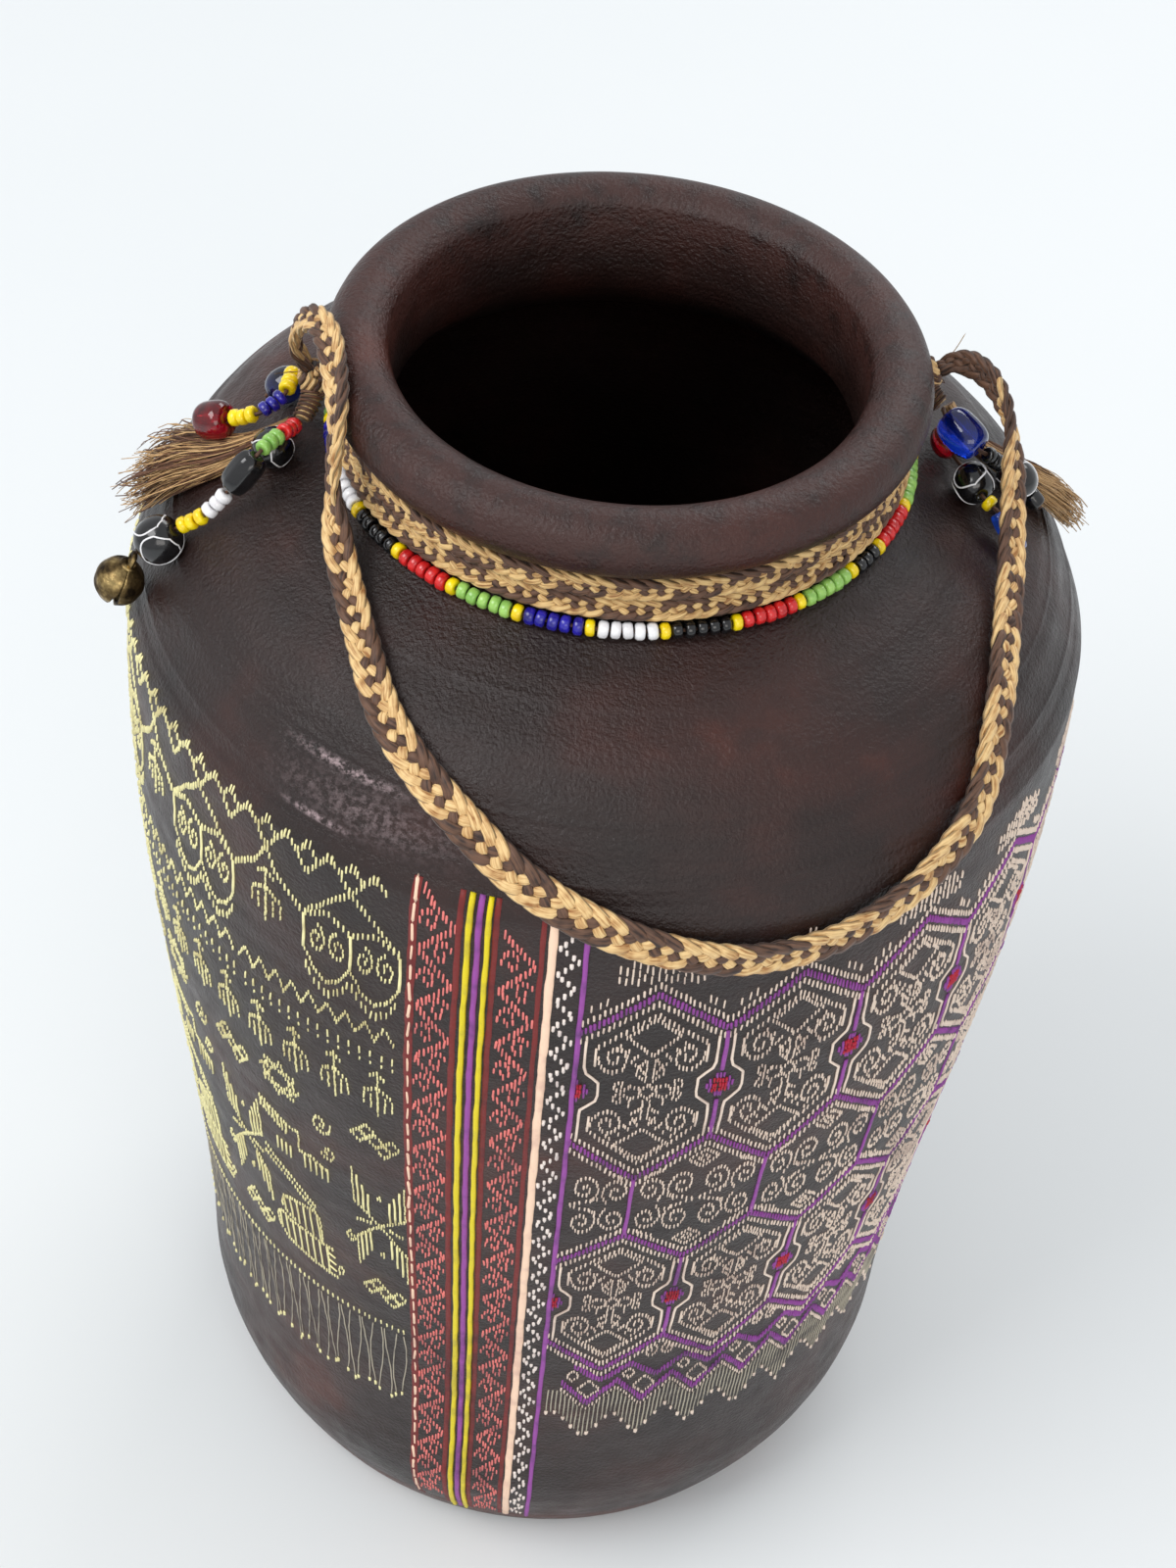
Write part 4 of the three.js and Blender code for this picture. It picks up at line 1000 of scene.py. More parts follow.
# %% [markdown]
# To the right of the band, rows of tall six-sided cells are edged in violet between two rows of pale dashes.
# Where two cells meet at the side sits a small violet diamond with a red heart. Inside is a tree-like figure
# between four curls. Half a cell over, a second kind fills the gaps between the rows with eight curls.

# %% The honeycomb panel
CELL = 16.85
HALF, FIRST_CELL = CELL / 2, 10.15
UPPER_ROW, LOWER_ROW = 264.0, 169.2
FILL_TOP, FILL_BOTTOM = 208.4, 157.6


def full_cell(middle, top):
    """One tall cell whose upper point is at the given height; outlines are about its own middle line."""
    corner, widest, low_corner, point = top - 13.4, top - 33.8, top - 53.8, top - 69.0
    place = lambda outlines: moved(outlines, middle)
    roof = np.array([(-HALF, corner), (0, top), (HALF, corner)])
    floor = np.array([(-HALF, low_corner), (0, point), (HALF, low_corner)])
    trace("violet", place([roof, floor]), tall=2.3, wide=0.95, across=0.92, up=3.0, proud=0.4, wander=0.06)
    edge_rows = [side + (0, off) for side in (roof, floor) for off in (2.9, -2.9)]
    trace("cream", place(edge_rows), tall=2.1)
    wall_line = np.array([(-7.55, corner - 2.4), (-7.5, widest + 7.4), (-5.75, widest + 3.6),
                          (-5.7, widest - 3.0), (-7.5, widest - 7.0), (-7.55, low_corner + 1.8)])
    line("cream", *place(both_ways([wall_line])), width=0.75)
    inner = [[(-6.35, start), (-6.35, bend), (0, tip), (6.35, bend), (6.35, start)] for start, bend, tip in
             ((widest + 9.5, corner - 4.6, top - 6.6), (widest - 9.5, low_corner + 4.8, point + 6.8))]
    trace("cream", place(inner), tall=1.9, wide=0.68)
    line("cream", *place(both_ways([o[:2] for o in inner])), width=0.6)
    curls = [curl((-4.15, widest + 12.2), 3.9, 11.4, 1.7, 170, way=-1),
             curl((-4.15, widest - 12.4), 3.9, 11.4, 1.7, 190, way=1)]
    trace("cream", place(both_ways(curls)), tall=1.7, wide=0.66, across=1.0, up=1.7)
    upper = closed((0, top - 8.2), (3.1, top - 14.2), (0, top - 20.6), (-3.1, top - 14.2))
    lower = closed((0, point + 8.4), (3.1, point + 14.4), (0, point + 20.6), (-3.1, point + 14.4))
    combs = [[(-3.4 + 0.95 * k, end + s * (16.4 + 1.9 * k)), (-4.3 + 0.95 * k, end + s * (18.8 + 2.1 * k))]
             for end, s in ((top, -1), (point, 1)) for k in range(4)]
    trace("cream", place([upper, lower] + both_ways(combs)), tall=1.5, wide=0.62, across=0.95, up=1.5)
    stem = [[(a, widest + s * 3.2), (a, widest + s * reach)] for s, reach in ((1, 11.6), (-1, 10.8))
            for a in (-0.42, 0.42)]
    limbs = [[(-0.6, 4.4), (-1.5, 6.4), (-1.55, 8.6)], [(-0.6, 6.8), (-1.9, 10.2)], [(-0.8, 1.4), (-2.3, 2.2)],
             [(-0.8, -1.4), (-1.9, -2.4), (-1.95, -5.6)], [(-0.6, -6.6), (-1.7, -8.6)],
             [(-0.6, -10.2), (-1.6, -12.2)]]
    little = [curl((-3.25, 2.5), 2.1, 4.6, 1.3, 0, way=1), curl((-3.25, -2.7), 2.1, 4.6, 1.3, 0, way=-1)]
    tree = [diamond(widest, 1.05, 2.8)] + stem + both_ways(moved(limbs + little, 0, widest))
    trace("cream", place(tree), tall=1.35, wide=0.6, across=0.85, up=1.35)


def side_diamond(middle, height):
    """A diamond of violet dashes about a red heart, on the edge that two cells share."""
    rows = np.array([(a, b) for a in np.linspace(-1.5, 1.5, 9) for b in np.linspace(-3.4, 3.4, 5)
                     if abs(a) / 1.75 + abs(b) / 5.2 < 1.0])
    rows = rows[rows[:, 0] > (0.3 if middle < 2 else -2)]
    inside = (np.abs(rows[:, 0]) < 0.8) & (np.abs(rows[:, 1]) < 1.8)
    dashes("violet", rows[~inside] + (middle, height), 1.9, 0.9, 0.4)
    dashes("vermilion", rows[inside] + (middle, height), 1.5, 0.85, 0.5)


def half_cell(middle, top, bottom, ways=both_ways, whole=True):
    """The filling between the rows: a small diamond at each end and two rows of four curls. ways may make it
    one half alone, and then whole leaves out the diamonds."""
    centre = (top + bottom) / 2
    place = lambda outlines: moved(outlines, middle)
    small = [diamond(z, wide, s * tall) for z, s in ((top - 7.6, 1), (bottom + 7.6, -1))
             for wide, tall in ((1.9, 3.6), (0.7, 1.4))]
    curls = [curl((a, centre + s * up), wide, tall, 1.65, 180 + s * lean, way=s * way) for s in (1, -1)
             for a, up, wide, tall, lean, way in ((-2.15, 7.5, 3.8, 12.4, 70, 1),
                                                  (-6.05, 6.2, 3.7, 11.8, 120, -1))]
    ties = [[(-4.1, centre + 3.4), (-0.2, centre + 0.2), (-4.1, centre - 3.4)],
            [(-7.2, centre + 12.0), (-4.6, top - 10.4)], [(-7.2, centre - 12.0), (-4.6, bottom + 10.4)]]
    if whole:
        trace("cream", place(small), tall=1.4, wide=0.62, across=0.9, up=1.4)
    trace("cream", place(ways(curls)), tall=1.6, wide=0.66, across=0.95, up=1.6)
    trace("cream", place(ways(ties)), tall=1.5, wide=0.62)


def crown():
    """Upright strokes over an upper cell's point: seven pairs in a fan, and three steps down each side."""
    fan = [(s * (0.35 + 0.72 * k), UPPER_ROW + 4.4 - 1.15 * k + 1.9 * (k // 2), 9.5 - 0.55 * k)
           for k in range(7) for s in (-1, 1)]
    steps = [[(s * a, UPPER_ROW - a * 1.59 + 4.6), (s * (a + 0.25), UPPER_ROW - a * 1.59 + 8.2)]
             for a in (5.6, 6.3, 7.3) for s in (-1, 1)]
    return [[(a, z), (a, z + tall)] for a, z, tall in fan] + steps


print("cells in a row:", 9, "with a step of", CELL, "degrees")

# %% [markdown]
# The two rows are set out round the jar: nine cells in each, the filling on the lines between them, and at the
# panel's two ends the half of a filling that still has room.

# %% Setting out the honeycomb
cells = FIRST_CELL + CELL * np.arange(9)
edges = FIRST_CELL - HALF + CELL * np.arange(10)
for middle in cells:
    full_cell(middle, UPPER_ROW)
    full_cell(middle, LOWER_ROW)
    line("violet", [(middle, UPPER_ROW - 69.4), (middle, LOWER_ROW + 0.6)], width=1.1, proud=0.4)
    trace("cream", moved(crown(), middle), tall=2.6, wide=0.66, up=2.7)
for middle in edges[1:-1]:
    half_cell(middle, FILL_TOP, FILL_BOTTOM)
half_cell(edges[0] + 0.5, FILL_TOP, FILL_BOTTOM, lambda outlines: moved(outlines, mirror=True), False)
half_cell(edges[-1] - 0.5, FILL_TOP, FILL_BOTTOM, moved, False)
for middle in edges:
    for top in (UPPER_ROW, LOWER_ROW):
        sides = [[(middle, top - high), (middle, top - low)] for high, low in ((14.4, 28.2), (39.4, 53.0))]
        line("violet", *sides, width=1.2, proud=0.4)
        side_diamond(middle, top - 33.8)
print("dashes with the honeycomb:", count_dashes())

# %% [markdown]
# Below the cells run two violet zigzags with small diamonds between them, and then a fringe: upright strokes
# that end in dots and follow the zigzag's points.

# %% The honeycomb's lower border
UPPER_START, LOWER_START, SMALLS = 6.2, 8.8, 18
half_steps = np.arange(-0.5, SMALLS + 0.5, 0.5)


def border_zigzag(start, at_points, between_points):
    """Corners every quarter of a cell: one height at the points, the other between them."""
    return np.stack([start + HALF * half_steps, np.where(half_steps % 1 == 0, at_points, between_points)], -1)


def on_panel(corners):
    """The corners that lie between the panel's two ends."""
    return corners[(corners[:, 0] > 2.3) & (corners[:, 0] < 153.6)]


upper = on_panel(border_zigzag(UPPER_START, 102.0, 94.4))
lower = on_panel(border_zigzag(LOWER_START, 82.4, 93.6))
trace("violet", [upper, lower], tall=3.0, wide=0.95, across=0.92, up=3.4, proud=0.4, wander=0.06)
trace("cream", [lower - (0, 3.4)], tall=1.6, wide=0.62)
for k in range(SMALLS):
    for shape, at_azimuth, z in ((diamond(0, 0.95, 2.6), UPPER_START, 96.8),
                                 (diamond(0, 1.7, 4.6), LOWER_START, 89.6)):
        trace("cream", moved([shape], at_azimuth + HALF * k, z), tall=1.3, wide=0.6, across=0.9, up=1.3)
for middle in edges[1:-1]:
    pair = [curl((-1.35, 107.4), 2.2, 6.4, 1.35, 60, way=1)]
    trace("cream", moved(both_ways(pair), middle), tall=1.4, wide=0.62, across=0.9, up=1.4)
fringe = np.arange(2.9, 153.4, 0.66)
hang_from = np.interp(fringe, *lower.T) - 4.6
hang_to = np.interp(fringe, *border_zigzag(LOWER_START, 64.6, 77.6).T)
line("ash", *[[(a, top), (a, low)] for a, top, low in zip(fringe, hang_from, hang_to)], width=0.44, proud=0.2)
dashes("cream", np.stack([fringe, hang_to - 0.6], -1)[::2], 1.7, 1.3, 0.5)
print("dashes with the border:", count_dashes())

# %% [markdown]
# To the left of the band the patterns are pale yellow and freer. At the top a chain of hearts and diamonds
# carries pairs of curled eyes over hooks, with a small tree between them. Below come a zigzag, two rows of
# dashes and a row of small trees. The repeat is a little under twenty-four degrees, and runs seven times
# round to the band at the back.

# %% The cloth panel: its upper rows
REPEATS, SPAN, TREE_STEP = 7, 23.85, 5.96
FINE = dict(tall=1.5, wide=0.66, across=0.95, up=1.5)


def comb(centre, half, top, low, teeth, sag=0.0):
    """Upright teeth in a row, longest in the middle by the sag."""
    across = np.linspace(-half, half, teeth)
    return [np.array([(centre + a, top), (centre + a, low - sag * (1 - abs(a) / half))]) for a in across]


def little_tree(centre, top, low, half):
    """A stem with two pairs of branches, the lower one over a comb."""
    mid = (top + low) / 2
    return [[(centre, top), (centre, low)],
            [(centre - half * 0.6, top - 2.5), (centre, top - 0.5), (centre + half * 0.6, top - 2.5)],
            [(centre - half, mid), (centre, mid + 2.4), (centre + half, mid)],
            *comb(centre, half, mid - 0.6, low + 3.4, 5, 1.5)]


def chain_and_eyes(place):
    """The chain on the shoulder's edge, the stems that hang from it, the four curls and the hooks."""
    chain = []
    for a in -22.4 - TREE_STEP * np.arange(4):
        chain += [[(a + 1.5, 280.2), (a, 283.6), (a - 1.5, 280.2)],
                  closed((a - 1.5, 280.0), (a - 2.98, 284.3), (a - 4.46, 280.0), (a - 2.98, 275.6))]
    chain += [[(-25.4, 275.6), (-28.4, 270.0), (-31.7, 262.6)],
              [(-25.4, 275.6), (-22.4, 270.0), (-18.9, 262.6)],
              [(-37.3, 275.6), (-35.9, 269.0), (-31.9, 262.8)],
              [(-37.3, 275.6), (-38.9, 269.0), (-42.6, 262.8)]]
    trace("straw", place(chain), tall=2.2, wide=0.72, across=1.15, up=2.3)
    posts = [[(a, top), (a, 251.6)] for a, top in ((-31.6, 262.4), (-25.2, 262.8), (-18.95, 262.4))]
    line("straw", *place(posts), width=0.8)
    brow = [(-31.6, 262.6), (-28.4, 266.2), (-25.2, 262.8), (-22.0, 266.2), (-18.9, 262.6)]
    trace("straw", place([brow]), tall=2.0, wide=0.7)
    eyes = [curl((a, 256.6), 2.6, 9.6, 1.5, 90, way)
            for a, way in ((-29.8, 1), (-26.9, -1), (-23.5, 1), (-20.6, -1))]
    trace("straw", place(eyes), **FINE)
    hooks = [[(a - 3.1, 251.4), (a - 1.7, 246.0), (a, 243.6), (a + 1.7, 246.0), (a + 3.1, 251.4)]
             for a in (-28.4, -22.1)]
    trace("straw", place(hooks), **FINE)
    trace("straw", place(moved(hooks, 0, -4.2)), tall=2.7, wide=0.66, across=1.3, up=4.0)
    trace("straw", place(little_tree(-37.3, 268.5, 251.5, 2.3)), **FINE)


def rows_and_trees(place, shift):
    """A zigzag, two rows of dashes and four small trees."""
    peaks = -19.4 - 2.55 * np.arange(0, 9.01, 0.5)
    zigzag = np.stack([peaks, np.where(np.arange(len(peaks)) % 2, 236.4, 231.2)], -1)
    trace("straw", place([zigzag]), **FINE)
    starts = np.arange(-19.6, -42.4, -1.45) + shift
    dash_row("straw", starts, 225.5, 2.3, 0.7)
    dash_row("straw", starts, 222.3, 1.2, 0.7)
    for k in range(4):
        trace("straw", place(little_tree(-21.6 - TREE_STEP * k, 219.5, 202.0, 1.9)), **FINE)


print("small trees in the row:", REPEATS * 4)

# %% [markdown]
# The middle of the cloth holds a winged figure between two small lattices, a star of eight curls, a barred
# bird over two small combs, and a boat with a double hull. The bars are fine painted lines between two
# outlines, so their ends are read off those outlines.

# %% The cloth panel: its figures
FIGURE = (-22.2, 152.0)


def winged_figure(place):
    """Two lattices, and between them four bent arms about a middle, with feathers inside them."""
    lattice = [closed((a + 1.1, z), (a, z + 2.6), (a - 1.1, z), (a, z - 2.6))
               for middle in (190.6, 118.6) for a, z in ((-24.5, middle), (-22.2, middle), (-19.9, middle),
                                                         (-23.35, middle + 3), (-21.05, middle - 3))]
    arms = [[(3.8 * s, tip), (3.8 * s, bend), (1.6 * s, near), (0, 0)]
            for tip, bend, near in ((22.4, 7.0, 2.8), (-23.4, -10.0, -4.0)) for s in (-1, 1)]
    hearts = [curl((-22.2, z), 0.8, 1.9, 1.0) for z in (165.0, 138.0)]
    hands = [[(-26.0, 150.6), (-23.4, 152.0)], [(-21.0, 152.0), (-18.6, 150.6)]]
    trace("straw", place(lattice + moved(arms, *FIGURE) + hearts + hands), **FINE)
    feathers = [[(3.1 - 0.75 * k, s * tip - s * 3.4 * k), (3.1 - 0.75 * k, root - rise * k)]
                for s, tip, root, rise in ((1, 19.6, 6.0, 1.2), (-1, 20.6, -8.4, -1.7)) for k in range(3)]
    line("straw", *place(moved(both_ways(feathers), *FIGURE)), width=0.6)


def bars_between(first, last, step, over, under, lean=0.0):
    """Upright bars every step, whose ends are read off an upper and a lower outline."""
    return [[(a, np.interp(a, *over)), (a + lean, np.interp(a, *under))] for a in np.arange(first, last, step)]


def star_bird_and_boat(place):
    """The star, the bird with its curls, a double stroke, the boat, and the bars of both."""
    petals = [curl((-36.9 + 2.35 * math.cos(t), 193.4 + 4.6 * math.sin(t)), 2.2, 4.6, 1.25, math.degrees(t))
              for t in np.arange(8) * math.pi / 4]
    bird = [[(-41.6, 178.4), (-38.6, 176.4), (-36.1, 174.2), (-34.6, 174.8), (-34.6, 167.0), (-32.4, 167.6),
             (-30.0, 165.0)], [(-41.6, 174.8), (-36.6, 170.6)],
            curl((-30.4, 186.0), 3.2, 9.0, 1.5, 20), curl((-29.6, 174.4), 2.6, 6.6, 1.3, 200, -1)]
    double = [[(-41.9, 156.4), (-37.2, 150.4), (-32.8, 143.4)],
              [(-42.0, 153.4), (-37.4, 147.6), (-33.2, 141.2)]]
    trace("straw", place(petals + bird + double), **FINE)
    hull = [[(-41.6, 124.8), (-41.4, 119.8), (-39.9, 116.0), (-37.2, 114.6), (-32.2, 113.4), (-30.2, 113.6)],
            [(-41.6, 124.8), (-40.6, 127.6), (-38.8, 126.2), (-36.0, 126.8), (-30.6, 126.6)],
            [(-40.2, 131.8), (-39.6, 136.4), (-37.8, 138.4), (-33.4, 140.6), (-32.5, 138.0), (-32.5, 127.2)],
            [(-31.7, 126.6), (-31.9, 114.2)], [(-40.2, 131.8), (-39.0, 129.4), (-37.4, 128.2)],
            curl((-29.4, 118.4), 1.5, 5.0, 1.1, 250)]
    trace("straw", place(hull), **FINE)
    bars = bars_between(-41.2, -36.4, 0.75, [(-41.6, -38.6, -36.1), (178.0, 176.0, 173.8)],
                        [(-41.6, -36.6), (175.0, 171.0)])
    bars += comb(-31.9, 1.9, 166.4, 160.8, 5) + comb(-37.6, 1.2, 165.4, 160.4, 4)
    bars += bars_between(-41, -31.7, 1.3, [(-41.6, -40.6, -38.8, -36, -31), (124.8, 127.2, 126, 126.4, 126.2)],
                         [(-41.6, -39.9, -37.2, -32), (120, 116.4, 115, 113.8)], 0.15)
    bars += bars_between(-39.5, -32.6, 1.3, [(-39.8, -37.8, -33.4), (135.4, 138, 140)],
                         [(-40, -37.4, -32), (131, 128.6, 127.4)], 0.15)
    bars += [[(-31.8, z), (-30.4, z - 0.8)] for z in (124.0, 120.6, 117.4)]
    line("straw", *place(bars), width=0.5)
    trace("straw", place([curl((-26.9, 140.0), 1.9, 5.4, 1.3, 90, -1)]), **FINE)


print("bars and feathers are painted lines; outlines are dashes")

# %% [markdown]
# At the foot of the cloth hangs its fringe: a row of dashes, and from it long thin strokes that sway and end
# in dots, longer and shorter by turns. With that a repeat is whole, and it is laid seven times.

# %% The cloth panel: its fringe, and the repeats
FRINGE_TOP, FRINGE_END = 99.6, 66.4


def cloth_fringe(shift):
    """Each stroke sways by half a degree as it hangs; its end steps up and down once for each small tree."""
    dash_row("straw", np.arange(-19.4, -42.5, -0.95) + shift, 102.0, 2.0, 0.66)
    threads = np.arange(-19.6, -42.4, -1.3)
    wave = lambda a, z: a + 0.5 * np.sin(z / 9.0 + a * 1.7)
    heights = np.linspace(FRINGE_TOP, FRINGE_END, 12)
    lifts = 4.5 * np.abs(((threads + 19.6) / TREE_STEP) % 1 - 0.5) * 2
    share = (FRINGE_TOP - heights) / (FRINGE_TOP - FRINGE_END)
    strokes = [np.stack([wave(a, heights) + shift, heights + lift * share], -1) for a, lift in zip(threads, lifts)]
    line("ash", *strokes, width=0.36, proud=0.2)
    dashes("straw", np.stack([wave(threads, FRINGE_END) + shift, FRINGE_END + lifts - 1.4], -1), 1.7, 1.15, 0.42)


for shift in -SPAN * np.arange(REPEATS):
    place = lambda outlines: moved(outlines, shift)
    chain_and_eyes(place)
    rows_and_trees(place, shift)
    winged_figure(place)
    star_bird_and_boat(place)
    cloth_fringe(shift)
print("dashes in all:", count_dashes())

# %% [markdown]
# Now all the remembered dashes and lines are laid on the jar, shade by shade. A piece may not grow past two
# hundred thousand triangles, so the shades with the most dashes are put down in a few sectors, each with room
# left for its lines.

# %% Laying the paint
TRIANGLES_PER_DASH, MOST_IN_A_PIECE = 12, 130000


def lay(shade):
    """One shade's dashes, sorted by azimuth into sectors, and its lines, dealt out between the sectors."""
    rows = np.concatenate(laid.get(shade, [np.zeros((0, 6))]))
    strokes = lines_laid.get(shade, [])
    parts = max(1, math.ceil(len(rows) * TRIANGLES_PER_DASH / MOST_IN_A_PIECE))
    order = np.array_split(rows[np.argsort(rows[:, 0])], parts)
    shares = [strokes[k::parts] for k in range(parts)]
    for k in range(parts):
        shells = ([mounds(order[k])] if len(order[k]) else []) + shares[k]
        put(f"{shade} paint {k + 1}", joined(shells), paint[shade], "jar")


for shade in sorted(set(laid) | set(lines_laid)):
    lay(shade)

# %% [markdown]
# Two turns of the same braid bind the neck. The lower one starts at the left knot, runs once round, climbs
# behind to tuck under the rim, and ends at the right knot.

# %% The neck winding
TURN_RADIUS = 62.77
climb_from, climb_to = RIGHT_AZIMUTH + 20, LEFT_AZIMUTH + 340
azimuths = np.linspace(LEFT_AZIMUTH + 1.0, RIGHT_AZIMUTH + 359, 900)
climb = np.clip((azimuths - climb_from) / (climb_to - climb_from), 0, 1)
turn_height = LOWER_TURN + (UPPER_TURN - LOWER_TURN) * climb * climb * (3 - 2 * climb)
turn = np.radians(azimuths)
lower_share = 1 - np.clip((azimuths - climb_from) / 60, 0, 1)[:, None]
winding = np.stack([*round_axis(TURN_RADIUS - 0.1 + 0.12 * np.sin(turn * 5), turn), turn_height], -1)
outwards = np.stack([*round_axis(1, turn), 0 * turn], -1)
winding_normals = unit(outwards + np.array([0, 0, 1.0]) * (0.42 * lower_share + 0.05))
shell, shades = braid(winding, winding_normals, 5.5, 3.3, repeat=24.0, shift=0.1, step=0.8)
put("neck winding", shell, [raffia_neck, raffia_dark], "jar", "neck_cord", shades=shades)

# %% [markdown]
# Each knot ties a strap end, the winding's end and the bead strands together: raffia strands gathered into a
# bundle, brown thread wound tightly round it, loops of raffia over the winding, and a bound stem that runs
# down to the tassel. The bundle is strands twisted about its axis and the thread is a helix.

# %% The two knots
def helix(line_points, radii, turns, start=0.0, steps=26):
    """A path that goes round a line while its distance from it follows radii."""
    d = distances(np.asarray(line_points, float))
    share = np.linspace(0, 1, int(turns * steps) + 1)
    s = share * d[-1]
    centre = at(np.asarray(line_points, float), s)
    heading = headings(centre)
    side = unit(np.cross(heading, np.array([0.3, 0.2, 1.0])))
    other = np.cross(heading, side)
    reach = np.interp(s, d, radii)[:, None]
    angle = (start + 2 * np.pi * turns * share)[:, None]
    return centre + (side * np.cos(angle) + other * np.sin(angle)) * reach


def tube(path, width, sides=8, height=None, ends=True):
    """A tube, or a flat strand if height is given, with rounded ends."""
    path = np.asarray(path, float)
    d = distances(path)
    close = np.minimum(d, d[-1] - d)
    rounding = np.sqrt(np.clip(1 - (1 - np.clip(close / (width * 0.5), 0, 1)) ** 2, 0.06, 1))
    full = rounding if ends else np.ones(len(d))
    heading = headings(path)
    up = unit(np.cross(heading, np.array([0.31, 0.52, 0.8])) + 1e-6)
    outline = oval(width, height or width, sides)[None] * full[:, None, None]
    return carried(path, up, outline)


def wound_knot(name, cad, azimuth, height, axis, binding, seed):
    """Nine raffia strands twisted about the axis, three loops over the winding, a bound stem and loose hairs."""
    rng = np.random.default_rng(seed)
    inner, outer = axis
    way = unit(outer - inner)
    base = inner - way * 0.8
    line_points = np.array([base, inner + (outer - inner) * 0.5, outer + way * 0.5])
    pale, dark, thread = [], [], []
    for k in range(9):
        path = helix(line_points, [2.5, 3.35, 2.3], 0.55, start=k * 2 * math.pi / 9, steps=30)
        (dark if k % 3 == 2 else pale).append(tube(path, 2.3, 8, 1.5))
    core = helix(line_points, [0.05, 0.05, 0.05], 1.0)
    dark.append(carried(core, (0.1, 0.2, 1.0), oval(4.6, 4.6, 10)))
    for z_off in (-1.5, 0.0, 1.5):
        a = math.radians(azimuth + z_off * 0.9)
        middle = np.array([*round_axis(TURN_RADIUS, a), height])
        out, side = np.array([*round_axis(1, a), 0]), np.array([math.cos(a), math.sin(a), 0])
        turn = np.linspace(-2.4, 2.4, 30)[:, None]
        loop = middle + side * z_off + out * 2.55 * np.cos(turn) + np.array([0, 0, 2.75]) * np.sin(turn)
        pale.append(tube(loop, 1.7, 8, 0.9))
    stem_line = np.array([inner + (outer - inner) * 0.55, (inner + binding) / 2 + way * 0.5, binding])
    stem = spline(stem_line, 12)
    thinning = np.linspace(4.6, 3.3, len(stem))[:, None, None]
    pale.append(carried(stem, (0.2, 0.1, 1.0), oval(1, 1, 10)[None] * thinning))
    thread.append(tube(helix(stem, np.linspace(2.6, 1.95, len(stem)), 8.5, start=seed), 0.8, 6))
    waist = np.array([inner - way * 0.2, inner + way * 1.6])
    thread.append(tube(helix(waist, [3.6, 3.75], 3.2, start=1.0), 0.8, 6))
    for k in range(9):
        start = inner + way * rng.uniform(-1, 5) + rng.normal(0, 1.6, 3)
        fluff = spline([start, start + rng.normal(0, 2.2, 3) + way * 1.4,
                        start + rng.normal(0, 3.2, 3) + way * 2.4], 6)
        (pale if k % 2 else thread).append(tube(fluff, 0.22, 5))
    faces = [sum(len(f) for s in part for f in s[1]) for part in (pale, dark, thread)]
    shades = np.repeat([0, 1, 2], faces)
    put(name, joined(pale + dark + thread), [raffia_tan, raffia_dark, brown_thread], "jar", cad,
        shades=shades)


wound_knot("left knot", "left_knot", LEFT_AZIMUTH, LOWER_TURN, left_axis, onto_face(-84.6, 10, 5.4), 11)
wound_knot("right knot", "right_knot", RIGHT_AZIMUTH, UPPER_TURN, right_axis, onto_face(100.6, 8.4, 11.2), 12)

# %% [markdown]
# A seed bead is a squat ring of glass with a round edge. One bead is a profile turned about its hole, and the
# rest are copies set along a line, each a little different in size and lean, as real ones are.

# %% Seed beads
def turned_bead(profile, sides, flutes=None):
    """A bead from (radius, height) pairs round its hole; the profile closes on itself through the bore."""
    profile = np.asarray(profile, float)
    angle = 2 * np.pi * np.arange(sides) / sides
    fluted = 1 if flutes is None else np.where(profile[:, :1] > 1.2, flutes(angle)[None], 1)
    r = profile[:, :1] * fluted
    height = np.broadcast_to(profile[:, 1:], (len(profile), sides))
    grid = np.stack([r * np.cos(angle), r * np.sin(angle), height], -1)
    return skin(grid, loop=True, lengths=np.arange(len(profile)))


def ring_profile(diameter, length, bore, points, squareness=2.6):
    """A rounded outline: |r|^n + |h|^n = 1 between the bore and the widest part, for n the squareness."""
    turn = np.linspace(-math.pi / 2, math.pi / 2, points)
    power = 2 / squareness
    reach = bore / 2 + (diameter - bore) / 2 * np.abs(np.cos(turn)) ** power
    return np.stack([reach, np.sign(np.sin(turn)) * np.abs(np.sin(turn)) ** power * length / 2], -1)


def seeds_along(starts, ends, size=4.0):
    """Seed beads whose holes run from starts to ends, one for each pair."""
    middles, ways = (starts + ends) / 2, ends - starts
    one = turned_bead(ring_profile(size, 1.0, 1.1, 6, 3.2), 11)
    lengths = np.linalg.norm(ways, axis=1)
    placed = standing(middles, ways + random.normal(0, 0.07, ways.shape) * lengths[:, None])
    placed[:, :3, :2] *= random.uniform(0.94, 1.04, (len(ways), 1, 1))
    placed[:, :3, 2] *= (lengths * random.uniform(0.93, 1.0, len(ways)))[:, None]
    placed[:, :3, 3] += random.normal(0, 0.07, (len(ways), 3))
    return copies(one, placed)


bead_runs = [
    ("red", 5), ("green", 5), ("blue", 5), ("white", 5), ("black", 5), ("red", 5), ("green", 5), ("black", 3),
    ("red", 5), ("green", 6), ("white", 5), ("black", 5), ("red", 5), ("green", 5), ("blue", 5), ("white", 5),
    ("black", 5), ("red", 5), ("green", 6), ("blue", 5), ("white", 5), ("red", 5), ("green", 5), ("blue", 5),
    ("white", 5), ("black", 5),
]
BEAD_STEP, RING_RADIUS, RING_HEIGHT = 360 / 156, 65.1, 326.1


def ring_place(azimuth):
    """A place on the bead string's circle."""
    turn = np.radians(azimuth)
    return np.stack([*round_axis(RING_RADIUS, turn), np.full_like(turn, RING_HEIGHT)], -1)


def closed_tube(path, outwards, sideways, width, sides):
    """A round tube along a flat closed path; outwards and sideways are the two axes of its outline."""
    outline = oval(width, width, sides)[None]
    return path[:, None] + outwards[:, None] * outline[..., :1] + np.array(sideways, float) * outline[..., 1:]


